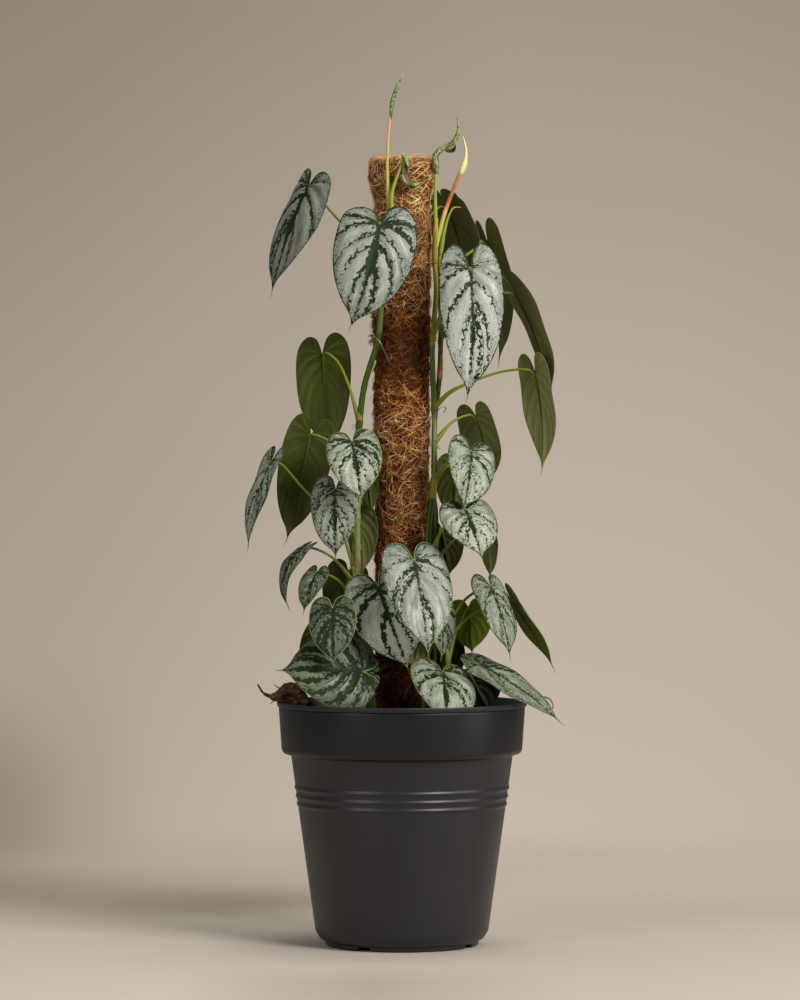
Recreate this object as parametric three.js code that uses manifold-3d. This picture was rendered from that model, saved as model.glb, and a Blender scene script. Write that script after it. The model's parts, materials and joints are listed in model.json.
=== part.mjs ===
// Potted silver leaf philodendron: a climbing house plant on a coir pole, in a black nursery pot.
// Millimetres, +Z up, origin on the pot's axis at the level it stands on, -Y towards the viewer.
// The pot is turned about the axis. Vines are tapered tubes that climb the pole. Every leaf is a
// thin heart-shaped blade, bent and folded by formula, fused to the stalk that carries it.
import * as THREE from "three";
import { mergeVertices } from "three/addons/utils/BufferGeometryUtils.js";
import Module from "manifold-3d";

const wasm = await Module();
wasm.setup();

// Driving dimensions
const GAP = 0.3; // between pieces that touch
const RIM_RADIUS = 131.5;
const RIM_HEIGHT = 256;
const BAND_BOTTOM = 200; // lower edge of the broad collar
const WALL = 2.2;
const FLOOR_TOP = 9;
const SOIL_LEVEL = 232;
const POLE_FOOT = 60;
const CORE_RADIUS = 11;
const CORE_TOP = 800;
const BLADE_THICKNESS = 0.8;
const STALK_RADIUS = 1.5;
const DEG = Math.PI / 180;

// Materials
const material = (color, roughness) =>
  new THREE.MeshStandardMaterial({ color, roughness, metalness: 0 });
const POT_BLACK = material(0x2b2b2c, 0.5);
const SOIL_BROWN = material(0x2c2019, 0.95);
const COIR_BROWN = material(0x8a5a35, 0.95);
const CORE_WOOD = material(0x9a7b52, 0.8);
const STEM_GREEN = material(0x567a35, 0.45);
const LEAF_SILVER = material(0x8b9a8c, 0.45);
const SHOOT_GREEN = material(0x9aa860, 0.45);
const PIN_STEEL = material(0x8d8f92, 0.35);
const BARK_BROWN = material(0x5f4632, 0.9);

// Solids and meshes
function solidOf(geometry) {
  const bare = new THREE.BufferGeometry();
  bare.setAttribute("position", geometry.getAttribute("position"));
  if (geometry.index) bare.setIndex(geometry.index);
  const merged = mergeVertices(bare, 1e-3);
  const triVerts = [];
  const index = merged.index.array;
  for (let i = 0; i < index.length; i += 3) {
    const [a, b, c] = [index[i], index[i + 1], index[i + 2]];
    if (a !== b && b !== c && c !== a) triVerts.push(a, b, c);
  }
  return new wasm.Manifold(
    new wasm.Mesh({
      numProp: 3,
      vertProperties: merged.attributes.position.array,
      triVerts: new Uint32Array(triVerts),
    }),
  );
}

function geometryOf(solid) {
  const got = solid.getMesh();
  const positions = new Float32Array(got.numVert * 3);
  for (let i = 0; i < got.numVert; i++) {
    positions.set(got.vertProperties.subarray(i * got.numProp, i * got.numProp + 3), i * 3);
  }
  const geometry = new THREE.BufferGeometry();
  geometry.setAttribute("position", new THREE.BufferAttribute(positions, 3));
  geometry.setIndex(new THREE.BufferAttribute(got.triVerts, 1));
  geometry.computeVertexNormals();
  return geometry;
}

const plant = new THREE.Group();
function place(name, solid, look) {
  const largest = solid
    .decompose()
    .reduce((best, body) => (body.volume() > best.volume() ? body : best));
  const mesh = new THREE.Mesh(geometryOf(largest), look);
  mesh.name = name;
  plant.add(mesh);
}

// A solid turned about the Z axis from (radius, height) points that start and end on the axis
function turned(points, segments) {
  const profile = points.map(([r, z]) => new THREE.Vector2(r, z));
  const geometry = new THREE.LatheGeometry(profile, segments);
  geometry.rotateX(Math.PI / 2);
  return solidOf(geometry);
}

// A round stalk along a curve, with its own radius at each step and flat ends
function stalk(curve, radiusAt, steps, sides) {
  const frames = curve.computeFrenetFrames(steps, false);
  const positions = [];
  for (let i = 0; i <= steps; i++) {
    const centre = curve.getPointAt(i / steps);
    const radius = radiusAt(i / steps);
    for (let j = 0; j < sides; j++) {
      const angle = (j / sides) * 2 * Math.PI;
      const out = centre
        .clone()
        .addScaledVector(frames.normals[i], radius * Math.cos(angle))
        .addScaledVector(frames.binormals[i], radius * Math.sin(angle));
      positions.push(out.x, out.y, out.z);
    }
  }
  const index = [];
  for (let i = 0; i < steps; i++) {
    for (let j = 0; j < sides; j++) {
      const next = (j + 1) % sides;
      const [a, b] = [i * sides + j, i * sides + next];
      const [c, d] = [a + sides, b + sides];
      index.push(a, b, d, a, d, c);
    }
  }
  const last = steps * sides;
  for (let j = 1; j < sides - 1; j++) {
    index.push(0, j + 1, j);
    index.push(last, last + j, last + j + 1);
  }
  const geometry = new THREE.BufferGeometry();
  geometry.setAttribute("position", new THREE.Float32BufferAttribute(positions, 3));
  geometry.setIndex(index);
  return solidOf(geometry);
}

const vector = ([x, y, z]) => new THREE.Vector3(x, y, z);
const smooth = (points) => new THREE.CatmullRomCurve3(points.map(vector), false, "centripetal");
const lerp = THREE.MathUtils.lerp;

// Pot: one turned shell with a broad collar, three raised rings and a foot with four gaps
const RINGS = [166, 157, 148.5];
const RING_HALF = 3.4;
const RING_RISE = 1;
const bodyRadius = (z) => lerp(91, 117, (z - 12) / (BAND_BOTTOM - 12));
const outside = [
  [75, 5],
  [75, 0],
  [81, 0],
  [81, 5],
  [86, 7],
  [bodyRadius(13), 13],
];
for (const z of [...RINGS].reverse()) {
  outside.push([bodyRadius(z - RING_HALF), z - RING_HALF]);
  outside.push([bodyRadius(z) + RING_RISE, z]);
}
outside.push(
  [bodyRadius(RINGS[0] + RING_HALF), RINGS[0] + RING_HALF],
  [bodyRadius(BAND_BOTTOM), BAND_BOTTOM],
  [125, BAND_BOTTOM + 2],
  [127, BAND_BOTTOM + 6],
  [130.3, RIM_HEIGHT - 6],
  [RIM_RADIUS, RIM_HEIGHT - 3],
  [RIM_RADIUS, RIM_HEIGHT],
);
const inside = [
  [RIM_RADIUS - 3, RIM_HEIGHT],
  [127 - WALL, BAND_BOTTOM + 6],
  [bodyRadius(BAND_BOTTOM) - WALL, BAND_BOTTOM - 2],
  [bodyRadius(15) - WALL, 15],
  [84, FLOOR_TOP],
];
const POT_SIDES = 36;
const DRAIN_COUNT = 8;
const DRAIN_RING = 52;
const DRAIN_RADIUS = 5;
const GAP_ANGLES = [-120, -30, 60, 150]; // gaps in the foot, from straight left
const GAP_WIDTH = 15;
let pot = turned([[0, 5], ...outside, ...inside, [0, FLOOR_TOP]], POT_SIDES);
const drain = turned([[0, 0], [DRAIN_RADIUS, 0], [DRAIN_RADIUS, 20], [0, 20]], 8);
for (let i = 0; i < DRAIN_COUNT; i++) {
  const angle = (i / DRAIN_COUNT) * 360 * DEG;
  pot = pot.subtract(drain.translate([DRAIN_RING * Math.cos(angle), DRAIN_RING * Math.sin(angle), 0]));
}
const gapBlock = solidOf(new THREE.BoxGeometry(GAP_WIDTH, 20, 8));
for (const angle of GAP_ANGLES) {
  pot = pot.subtract(gapBlock.translate([0, -80, 0]).rotate([0, 0, angle]));
}
place("pot", pot, POT_BLACK);

// Vines: the route of each stem as it climbs, from below the soil to its growing end
const VINES = {
  vine_left: {
    radius: [4.4, 2.6],
    route: [
      [-30, -40, 190], [-34, -44, 260], [-43, -46, 330], [-46, -44, 395], [-47, -42, 440],
      [-47, -38, 500], [-45, -33, 545], [-39, -31, 590], [-25, -33, 638], [-21, -36, 680],
      [-17, -38, 735], [-13, -38, 775],
    ],
  },
  vine_right: {
    radius: [4.4, 2.4],
    route: [
      [22, -46, 190], [24, -44, 260], [26, -36, 330], [27, -30, 400], [28, -27, 440],
      [34, -20, 495], [34, -18, 560], [32, -22, 630], [36, -16, 690], [34, -19, 730], [36, -18, 765],
    ],
  },
  vine_right_rear: {
    radius: [4, 2.3],
    route: [
      [34, 0, 190], [33, 1, 300], [33, 1, 400], [33, 1, 440], [34, 2, 500], [35, 2, 560],
      [39, 1, 592], [41, -1, 640], [40, -3, 720], [41, -5, 745],
    ],
  },
  vine_back: {
    radius: [4.2, 2.4],
    route: [
      [-12, 38, 190], [-12, 34, 300], [-4, 34, 420], [4, 34, 540], [10, 34, 650], [14, 33, 745],
      [16, 33, 790],
    ],
  },
  vine_left_low: {
    radius: [3.8, 2.2],
    route: [
      [-56, -18, 190], [-52, -16, 300], [-50, -12, 392], [-59, -10, 428], [-66, -8, 470],
    ],
  },
  vine_base: {
    radius: [4, 2.2],
    route: [
      [58, -36, 190], [52, -36, 260], [47, -38, 310], [44, -34, 350],
    ],
  },
};
const VINE_SIDES = 6;
const vines = {};
for (const [name, { radius, route }] of Object.entries(VINES)) {
  const curve = smooth(route);
  const steps = Math.round(curve.getLength() / 30);
  const radiusAt = (extra) => (t) => lerp(radius[0], radius[1], t) + extra;
  const longer = [...route];
  longer[0] = [route[0][0], route[0][1], route[0][2] - 2 * GAP];
  longer[longer.length - 1] = smooth(route).getPoint(1).addScaledVector(
    smooth(route).getTangent(1), 1.5 * GAP).toArray();
  vines[name] = {
    curve,
    solid: stalk(curve, radiusAt(0), steps, VINE_SIDES),
    grown: stalk(smooth(longer), radiusAt(GAP + 0.15), steps, VINE_SIDES),
  };
}

// The point of a vine at one height
function vineAt(name, height) {
  const { curve } = vines[name];
  let low = 0;
  let high = 1;
  for (let i = 0; i < 24; i++) {
    const middle = (low + high) / 2;
    if (curve.getPointAt(middle).z < height) low = middle;
    else high = middle;
  }
  return curve.getPointAt(low);
}

// Leaf outline of one half, from the notch where the stalk joins, round the lobe and down to the
// tip: sideways in half widths, lengthways in lengths from stalk to tip
const OUTLINE = new THREE.SplineCurve(
  [
    [0, 0], [0.18, -0.155], [0.52, -0.195], [0.86, -0.09], [1, 0.14], [0.96, 0.4], [0.72, 0.65],
    [0.28, 0.87], [0, 1],
  ].map(([s, a]) => new THREE.Vector2(s, a)),
);
const MIDRIB_FROM = 0.5; // share of the outline whose veins all start at the stalk
const SPOKES = 8;
const COLUMNS = 2;

// A point of the flat blade: k runs round the outline, t from the midrib to the margin
function flatPoint(k, t) {
  const margin = OUTLINE.getPoint(k);
  const root = Math.max(0, (k - MIDRIB_FROM) / (1 - MIDRIB_FROM)) ** 1.25;
  const elbow = { s: 0.6 * margin.x, a: root + 0.25 * (margin.y - root) - 0.08 * margin.x * (1 - k) };
  const [q0, q1, q2] = [(1 - t) ** 2, 2 * t * (1 - t), t * t];
  return { s: q1 * elbow.s + q2 * margin.x, a: q0 * root + q1 * elbow.a + q2 * margin.y };
}

// The frame of a leaf, from where its stalk joins, where its tip hangs and which way it faces
function leafFrame(leaf) {
  const start = vector(leaf.at);
  const chord = vector(leaf.tip).sub(start);
  const along = chord.clone().normalize();
  const [azimuth, elevation] = leaf.faces.map((x) => x * DEG);
  const facing = new THREE.Vector3(
    Math.sin(azimuth) * Math.cos(elevation),
    -Math.cos(azimuth) * Math.cos(elevation),
    Math.sin(elevation),
  );
  const normal = facing.addScaledVector(along, -facing.dot(along)).normalize();
  const side = along.clone().cross(normal);
  const bend = Math.max(0.02, (leaf.bend ?? 25) * DEG);
  const length = (chord.length() * (bend / 2)) / Math.sin(bend / 2);
  return { start, along, normal, side, bend, length };
}

// Bends the flat point (s sideways, a lengthways, in mm) into space, raised by h off the blade.
// Sway is the angle by which the midrib leaves the straight line to the tip, in the blade.
function bentPoint(leaf, frame, s, flatA, h) {
  const { start, along, normal, side, bend, length } = frame;
  const a = flatA < 0 ? flatA * (leaf.lobes ?? [1, 1])[s > 0 ? 0 : 1] : flatA;
  const sway = (leaf.sway ?? 0) * DEG;
  const share = Math.min(1, Math.max(0, a / length));
  const half = leaf.width / 2;
  const fold = (leaf.fold ?? 14) * DEG;
  const curl = (leaf.curl ?? 34) * DEG;
  const wave = leaf.wave ?? 1.5;
  const reach = Math.abs(s);
  const rate = curl / half;
  const across = (Math.sin(fold) - Math.sin(fold - rate * reach)) / rate;
  const ripple = wave * (reach / half) ** 2 * Math.sin((2.2 * a) / half + leaf.at[0] + Math.sign(s));
  const up = (Math.cos(fold - rate * reach) - Math.cos(fold)) / rate + ripple;
  const slope = fold - rate * reach;
  const turn = bend * (a / length - 0.5);
  const radius = length / bend;
  const lift = radius * (Math.cos(turn) - Math.cos(bend / 2));
  const travel = radius * (Math.sin(turn) + Math.sin(bend / 2));
  const out = normal.clone().multiplyScalar(Math.cos(turn)).addScaledVector(along, Math.sin(turn));
  const onward = along.clone().multiplyScalar(Math.cos(turn)).addScaledVector(normal, -Math.sin(turn));
  const yaw = sway * (1 - 2 * share);
  const sideways = Math.sign(s) * (across - h * Math.sin(slope));
  return start
    .clone()
    .addScaledVector(along, travel)
    .addScaledVector(normal, lift)
    .addScaledVector(side, sway * a * (1 - share))
    .addScaledVector(out, up + h * Math.cos(slope))
    .addScaledVector(side, sideways * Math.cos(yaw))
    .addScaledVector(onward, -sideways * Math.sin(yaw));
}

// The blade as one closed thin shell, with the same triangles on both faces
function blade(leaf) {
  const frame = leafFrame(leaf);
  const half = leaf.width / 2;
  const thick = BLADE_THICKNESS / 2;
  const positions = [];
  const index = [];
  const key = new Map();
  const vertex = (sign, k, t, face) => {
    const flat = flatPoint(k, t);
    const s = flat.s * half * (flat.s < 1e-6 ? 0 : sign);
    const id = `${s.toFixed(3)},${flat.a.toFixed(5)},${face}`;
    if (!key.has(id)) {
      const p = bentPoint(leaf, frame, s, flat.a * frame.length, face * thick);
      key.set(id, positions.length / 3);
      positions.push(p.x, p.y, p.z);
    }
    return key.get(id);
  };
  const face = (a, b, c, flip) => {
    if (a === b || b === c || c === a) return;
    if (flip) index.push(a, c, b);
    else index.push(a, b, c);
  };
  for (const sign of [1, -1]) {
    for (let i = 0; i < SPOKES; i++) {
      const [k0, k1] = [i / SPOKES, (i + 1) / SPOKES];
      for (let j = 0; j < COLUMNS; j++) {
        const [t0, t1] = [j / COLUMNS, (j + 1) / COLUMNS];
        for (const top of [1, -1]) {
          const corner = (k, t) => vertex(sign, k, t, top);
          const flip = sign * top < 0;
          face(corner(k0, t0), corner(k0, t1), corner(k1, t1), flip);
          face(corner(k0, t0), corner(k1, t1), corner(k1, t0), flip);
        }
      }
      const edge = (k, top) => vertex(sign, k, 1, top);
      face(edge(k0, 1), edge(k0, -1), edge(k1, -1), sign < 0);
      face(edge(k0, 1), edge(k1, -1), edge(k1, 1), sign < 0);
    }
  }
  const geometry = new THREE.BufferGeometry();
  geometry.setAttribute("position", new THREE.Float32BufferAttribute(positions, 3));
  geometry.setIndex(index);
  return { solid: solidOf(geometry), frame };
}

// A leaf: its blade, and its stalk from the vine to the blade's underside
function leafSolid(leaf) {
  const { solid, frame } = blade(leaf);
  const foot = vineAt(leaf.vine, leaf.node);
  const back = frame.normal.clone().multiplyScalar(-1);
  const near = frame.start.clone().addScaledVector(back, 7).addScaledVector(frame.along, -2);
  const reach = near.clone().sub(foot).length();
  const via = leaf.via
    ? leaf.via.map(vector)
    : [foot.clone().lerp(near, 0.5).add(new THREE.Vector3(0, 0, 0.14 * reach))];
  const route = [foot, ...via, near, frame.start];
  const curve = new THREE.CatmullRomCurve3(route, false, "centripetal");
  const steps = Math.max(4, Math.round(curve.getLength() / 19));
  const radiusAt = (t) => lerp(STALK_RADIUS * 1.9, STALK_RADIUS, Math.min(1, t * 2.2));
  let whole = solid.add(stalk(curve, radiusAt, steps, 4));
  whole = whole.subtract(vines[leaf.vine].grown);
  return whole;
}

// Leaves: where each stalk joins its blade, where the tip hangs, full width, the way the upper
// face looks (turn from the front, rise), and the vine and height it grows from. Lobes is the
// size of the lobe on each side of the notch.
const LEAVES = {
  leaf_01: {
    vine: "vine_left", node: 690, at: [-97, -28, 800], tip: [-136, -34, 688], width: 80,
    faces: [-58, 5], bend: 16, fold: 10, curl: 40, lobes: [0.75, 0.7],
    via: [[-60, -34, 755], [-80, -30, 779]],
  },
  leaf_02: {
    vine: "vine_left", node: 705, at: [-23, -64, 758], tip: [-53, -78, 650], width: 86,
    faces: [4, 8], fold: 10, sway: -5, lobes: [0.6, 1],
  },
  leaf_03: {
    vine: "vine_right", node: 640, at: [71, -62, 711], tip: [68, -66, 577], width: 69,
    faces: [8, 5], fold: 10, sway: -5,
  },
  leaf_04: {
    vine: "vine_back", node: 740, at: [48, 52, 781], tip: [72, 60, 682], width: 82, faces: [124, 5],
  },
  leaf_05: {
    vine: "vine_right_rear", node: 690, at: [91, 32, 742], tip: [103, 30, 616], width: 60,
    faces: [118, 5], fold: 22, via: [[62, -2, 722], [80, 5, 736]],
  },
  leaf_06: {
    vine: "vine_right_rear", node: 640, at: [119, -14, 687], tip: [157, -18, 578], width: 54,
    faces: [112, 10], fold: 22,
  },
  leaf_07: {
    vine: "vine_right", node: 566, at: [140, -18, 604], tip: [147, -20, 501], width: 56,
    faces: [126, 5], fold: 10, via: [[50, -20, 582], [70, -20, 592], [105, -20, 604]],
  },
  leaf_08: {
    vine: "vine_right", node: 530, at: [78, 4, 558], tip: [93, 6, 486], width: 60,
    faces: [132, 5], fold: 10,
  },
  leaf_09: {
    vine: "vine_right", node: 490, at: [72, -42, 521], tip: [64, -70, 460], width: 58,
    faces: [36, 24], fold: 22,
  },
  leaf_10: {
    vine: "vine_right", node: 408, at: [66, -58, 460], tip: [83, -86, 410], width: 64,
    faces: [24, 34], bend: 14,
  },
  leaf_11: {
    vine: "vine_right", node: 485, at: [58, 14, 506], tip: [54, 16, 446], width: 46,
    faces: [165, 5],
  },
  leaf_12: {
    vine: "vine_right_rear", node: 400, at: [87, -22, 437], tip: [92, -28, 388], width: 36,
    faces: [125, 5],
  },
  leaf_13: {
    vine: "vine_right_rear", node: 380, at: [43, 16, 438], tip: [50, 14, 388], width: 42,
    faces: [165, 5],
  },
  leaf_14: {
    vine: "vine_right", node: 350, at: [12, -80, 408], tip: [27, -120, 312], width: 74,
    faces: [18, 24],
  },
  leaf_15: {
    vine: "vine_left", node: 340, at: [-25, -60, 381], tip: [6, -80, 295], width: 80,
    faces: [-8, 24],
  },
  leaf_16: {
    vine: "vine_left", node: 345, at: [-72, -84, 359], tip: [-71, -99, 301], width: 50,
    faces: [-8, 25],
  },
  leaf_17: {
    vine: "vine_left", node: 262, at: [-40, -68, 291], tip: [-126, -78, 293], width: 85,
    faces: [-10, 24],
  },
  leaf_18: {
    vine: "vine_left_low", node: 290, at: [-79, -36, 334], tip: [-103, -40, 290], width: 40,
    faces: [-170, 5],
  },
  leaf_19: {
    vine: "vine_left_low", node: 380, at: [-103, -36, 419], tip: [-119, -40, 358], width: 36,
    faces: [-66, 5], bend: 85,
  },
  leaf_20: {
    vine: "vine_left_low", node: 360, at: [-89, -52, 394], tip: [-102, -64, 354], width: 34,
    faces: [-42, 25],
  },
  leaf_21: {
    vine: "vine_left_low", node: 340, at: [-57, 8, 393], tip: [-70, 6, 336], width: 48,
    faces: [176, 5],
  },
  leaf_22: {
    vine: "vine_left", node: 420, at: [-69, -50, 482], tip: [-69, -60, 410], width: 54,
    faces: [-18, 8],
  },
  leaf_23: {
    vine: "vine_left", node: 480, at: [-52, -64, 531], tip: [-42, -92, 470], width: 58,
    faces: [0, 32],
  },
  leaf_24: {
    vine: "vine_left", node: 550, at: [-84, -4, 623], tip: [-73, 14, 520], width: 68,
    faces: [-150, 5], via: [[-56, -26, 590], [-68, -18, 615]],
  },
  leaf_25: {
    vine: "vine_left", node: 500, at: [-96, -14, 536], tip: [-121, -18, 428], width: 55,
    faces: [175, 5],
  },
  leaf_26: {
    vine: "vine_left", node: 450, at: [-137, -28, 509], tip: [-161, -34, 421], width: 40,
    faces: [-60, 5], fold: 16, curl: 30, via: [[-58, -34, 455], [-94, -31, 473]],
  },
  leaf_27: {
    vine: "vine_left", node: 450, at: [-36, -30, 497], tip: [-32, -33, 457], width: 22,
    faces: [176, 5],
  },
  leaf_28: {
    vine: "vine_left_low", node: 400, at: [-46, -18, 458], tip: [-41, -22, 392], width: 40,
    faces: [158, 5],
  },
  leaf_29: {
    vine: "vine_base", node: 335, at: [92, -46, 380], tip: [112, -78, 308], width: 46,
    faces: [38, 24], fold: 6,
  },
  leaf_30: {
    vine: "vine_base", node: 320, at: [115, -12, 365], tip: [159, -18, 293], width: 52,
    faces: [105, 15], bend: 8, via: [[66, -38, 344], [90, -30, 360]],
  },
  leaf_31: {
    vine: "vine_base", node: 300, at: [70, -12, 356], tip: [74, -4, 308], width: 48,
    faces: [180, 12],
  },
  leaf_32: {
    vine: "vine_right", node: 300, at: [40, -58, 356], tip: [41, -62, 306], width: 46,
    faces: [50, 5],
  },
  leaf_33: {
    vine: "vine_right", node: 290, at: [19, -54, 339], tip: [12, -56, 291], width: 36,
    faces: [178, 5],
  },
  leaf_34: {
    vine: "vine_base", node: 262, at: [42, -66, 291], tip: [46, -110, 236], width: 76,
    faces: [34, 40],
  },
  leaf_35: {
    vine: "vine_base", node: 275, at: [80, -52, 298], tip: [165, -60, 238], width: 38,
    faces: [20, 50],
  },
  leaf_36: {
    vine: "vine_right_rear", node: 250, at: [72, 4, 286], tip: [92, 2, 244], width: 60,
    faces: [170, 5],
  },
  leaf_37: {
    vine: "vine_back", node: 700, at: [2, 64, 742], tip: [-4, 74, 650], width: 54,
    faces: [180, 5],
  },
  leaf_38: {
    vine: "vine_back", node: 560, at: [-4, 60, 602], tip: [2, 70, 512], width: 54,
    faces: [176, 8],
  },
  leaf_39: {
    vine: "vine_back", node: 420, at: [8, 64, 474], tip: [14, 76, 388], width: 60,
    faces: [170, 8],
  },
  leaf_40: {
    vine: "vine_back", node: 330, at: [-32, 58, 374], tip: [-44, 78, 292], width: 68,
    faces: [-165, 14],
  },
  leaf_41: {
    vine: "vine_back", node: 280, at: [34, 60, 330], tip: [48, 92, 262], width: 62,
    faces: [160, 24],
  },
};
for (const [name, leaf] of Object.entries(LEAVES)) {
  place(name, leafSolid(leaf), LEAF_SILVER);
}

for (const [name, vine] of Object.entries(vines)) {
  place(name, vine.solid, STEM_GREEN);
}

// New growth: young leaves still rolled up, each an upright stalk that carries a roll. A route
// comes with a radius at each of its points.
const SHOOTS = {
  shoot_tall: {
    vine: "vine_left",
    stalk: [[-13, -37, 765], [-15, -38, 800], [-15, -38, 832], [-12, -37, 876]],
    stalkRadius: [2.5, 2.1, 1.8, 1.4],
    roll: [[-12, -37, 870], [-8, -37, 890], [-4, -37, 904], [1, -37, 917]],
    rollRadius: [2, 3.2, 2.6, 0.4],
  },
  shoot_curled: {
    vine: "vine_left",
    stalk: [[-14, -39, 750], [-11, -43, 766], [-10, -43, 792], [1, -43, 822]],
    stalkRadius: [2.2, 2, 1.8, 1.5],
    roll: [
      [0, -43, 831], [4, -43, 823], [2, -43, 812], [4, -43, 804], [10, -43, 800], [18, -43, 800],
    ],
    rollRadius: [0.8, 3.4, 4.4, 4.4, 3.4, 1],
  },
  shoot_hooked: {
    vine: "vine_right",
    stalk: [[36, -18, 752], [35, -20, 790], [36, -20, 818]],
    stalkRadius: [2.3, 1.9, 1.6],
    roll: [
      [36, -20, 813], [35, -20, 822], [35, -19, 832], [46, -17, 840], [56, -16, 847],
      [59, -16, 857], [58, -16, 872],
    ],
    rollRadius: [2.8, 3.6, 3.4, 3, 2.4, 1.4, 0.4],
  },
  shoot_pale: {
    vine: "vine_right",
    stalk: [[36, -17, 742], [44, -14, 768], [53, -12, 793], [61, -10, 814]],
    stalkRadius: [2.6, 2.2, 2, 1.6],
    roll: [[61, -10, 812], [67, -9, 830], [67, -9, 838], [64, -9, 852]],
    rollRadius: [3.2, 2.8, 1.4, 0.4],
  },
  shoot_sheath: {
    vine: "vine_right_rear",
    stalk: [[41, -5, 735], [44, -8, 752], [50, -10, 770], [55, -10, 777], [62, -10, 777]],
    stalkRadius: [2.2, 2.6, 2, 1.2, 0.4],
  },
};

// A stalk through the points of a route, with the radius listed for each of them
function shapedStalk(route, radius, stepsEach, sides, extra = 0) {
  const curve = smooth(route);
  const last = radius.length - 1;
  const radiusAt = (share) => {
    const t = curve.getUtoTmapping(share) * last;
    const i = Math.min(last - 1, Math.floor(t));
    return lerp(radius[i], radius[i + 1], t - i) + extra;
  };
  return stalk(curve, radiusAt, last * stepsEach, sides);
}

for (const [name, shoot] of Object.entries(SHOOTS)) {
  let whole = shapedStalk(shoot.stalk, shoot.stalkRadius, 2, 5);
  if (shoot.roll) whole = whole.add(shapedStalk(shoot.roll, shoot.rollRadius, 2, 5));
  place(name, whole.subtract(vines[shoot.vine].grown), SHOOT_GREEN);
}

// Coir pole: a matted sleeve of uneven thickness on a wooden stake
const SLEEVE = [
  [27, POLE_FOOT], [27, 230], [28, 300], [28, 400], [29, 440], [27.5, 500], [29.5, 560],
  [28.5, 620], [30, 680], [31, 740], [29.5, 775], [32.5, 793], [36, 806], [36, 818], [32, 827],
];
const SLEEVE_SIDES = 20;
const sleeveOuter = (extra) => SLEEVE.map(([r, z]) => [r + extra, z]);
const bore = [
  [0, CORE_TOP + GAP],
  [CORE_RADIUS + GAP, CORE_TOP + GAP],
  [CORE_RADIUS + GAP, POLE_FOOT],
];
let sleeve = turned([...bore, ...sleeveOuter(0), [0, 827]], SLEEVE_SIDES);
const core = (extra) =>
  turned(
    [
      [0, FLOOR_TOP + GAP - extra],
      [CORE_RADIUS + extra, FLOOR_TOP + GAP - extra],
      [CORE_RADIUS + extra, CORE_TOP],
      [0, CORE_TOP],
    ],
    12,
  );
place("pole_core", core(0), CORE_WOOD);

// Wire pins that hold the stems to the pole: one end pushed into the coir, the other turned over
const PIN_RADIUS = 0.6;
const PINS = {
  pin_right: [
    [14, -12, 548], [22, -24, 548], [28, -30, 552], [37, -31, 560], [45, -29, 566],
    [49, -27, 563], [46, -26, 559],
  ],
  pin_left: [
    [-8, -14, 606], [-13, -30, 612], [-17, -38, 622], [-24, -41, 636], [-31, -38, 642],
    [-31, -28, 638], [-24, -14, 632],
  ],
};
function wire(route, radius) {
  const section = new THREE.Shape().absarc(0, 0, radius, 0, 2 * Math.PI);
  const extrudePath = smooth(route);
  return solidOf(
    new THREE.ExtrudeGeometry(section, {
      steps: 12, curveSegments: 3, bevelEnabled: false, extrudePath,
    }),
  );
}
for (const [name, route] of Object.entries(PINS)) {
  place(name, wire(route, PIN_RADIUS), PIN_STEEL);
  sleeve = sleeve.subtract(wire(route, PIN_RADIUS + GAP));
}
place("coir_sleeve", sleeve, COIR_BROWN);

// Soil: fills the pot to below the rim, with plain holes for the pole and the stems
const bed = (z, r) => [r - WALL - GAP, z];
let soil = turned(
  [
    [0, FLOOR_TOP + GAP],
    [84 - GAP, FLOOR_TOP + GAP],
    bed(15, bodyRadius(15)),
    bed(BAND_BOTTOM - 2, bodyRadius(BAND_BOTTOM)),
    bed(BAND_BOTTOM + 6, 127),
    bed(SOIL_LEVEL - 3, lerp(127, 130.5, 0.5)),
    [116, SOIL_LEVEL],
    [60, SOIL_LEVEL + 4],
    [0, SOIL_LEVEL + 5],
  ],
  POT_SIDES,
);
soil = soil.subtract(turned([[0, POLE_FOOT - GAP], ...sleeveOuter(GAP), [0, 827]], SLEEVE_SIDES));
soil = soil.subtract(core(GAP));
for (const vine of Object.values(vines)) soil = soil.subtract(vine.grown);
place("soil", soil, SOIL_BROWN);

// A scrap of dry bark with a curled end, leaning from the soil over the left of the rim
const SCRAP = [
  [-88, -22, 239.6], [-104, -17, 255], [-118, -14, 263], [-130, -12, 262.3], [-139, -11, 262.5],
  [-146, -10, 266], [-152, -10, 275],
];
const SCRAP_RADIUS = [6.5, 9, 8.5, 6.6, 2.4, 1.4, 0.8];
place("bark_scrap", shapedStalk(SCRAP, SCRAP_RADIUS, 2, 6), BARK_BROWN);

export default plant;
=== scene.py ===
# %% [markdown]
# # A potted silver leaf philodendron
# The plant climbs a pole of coir in a black nursery pot. Its CAD model fixes the size and the
# place of every part. The cells below make a finer piece around each of those parts, and give
# every piece a finish of its own. Tables are in millimetres, as in the CAD source, and turn into
# metres when a mesh is made. The origin is on the pot's axis, on the floor, and -Y is the front.

# %% Load the frame
import json
import math

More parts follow.
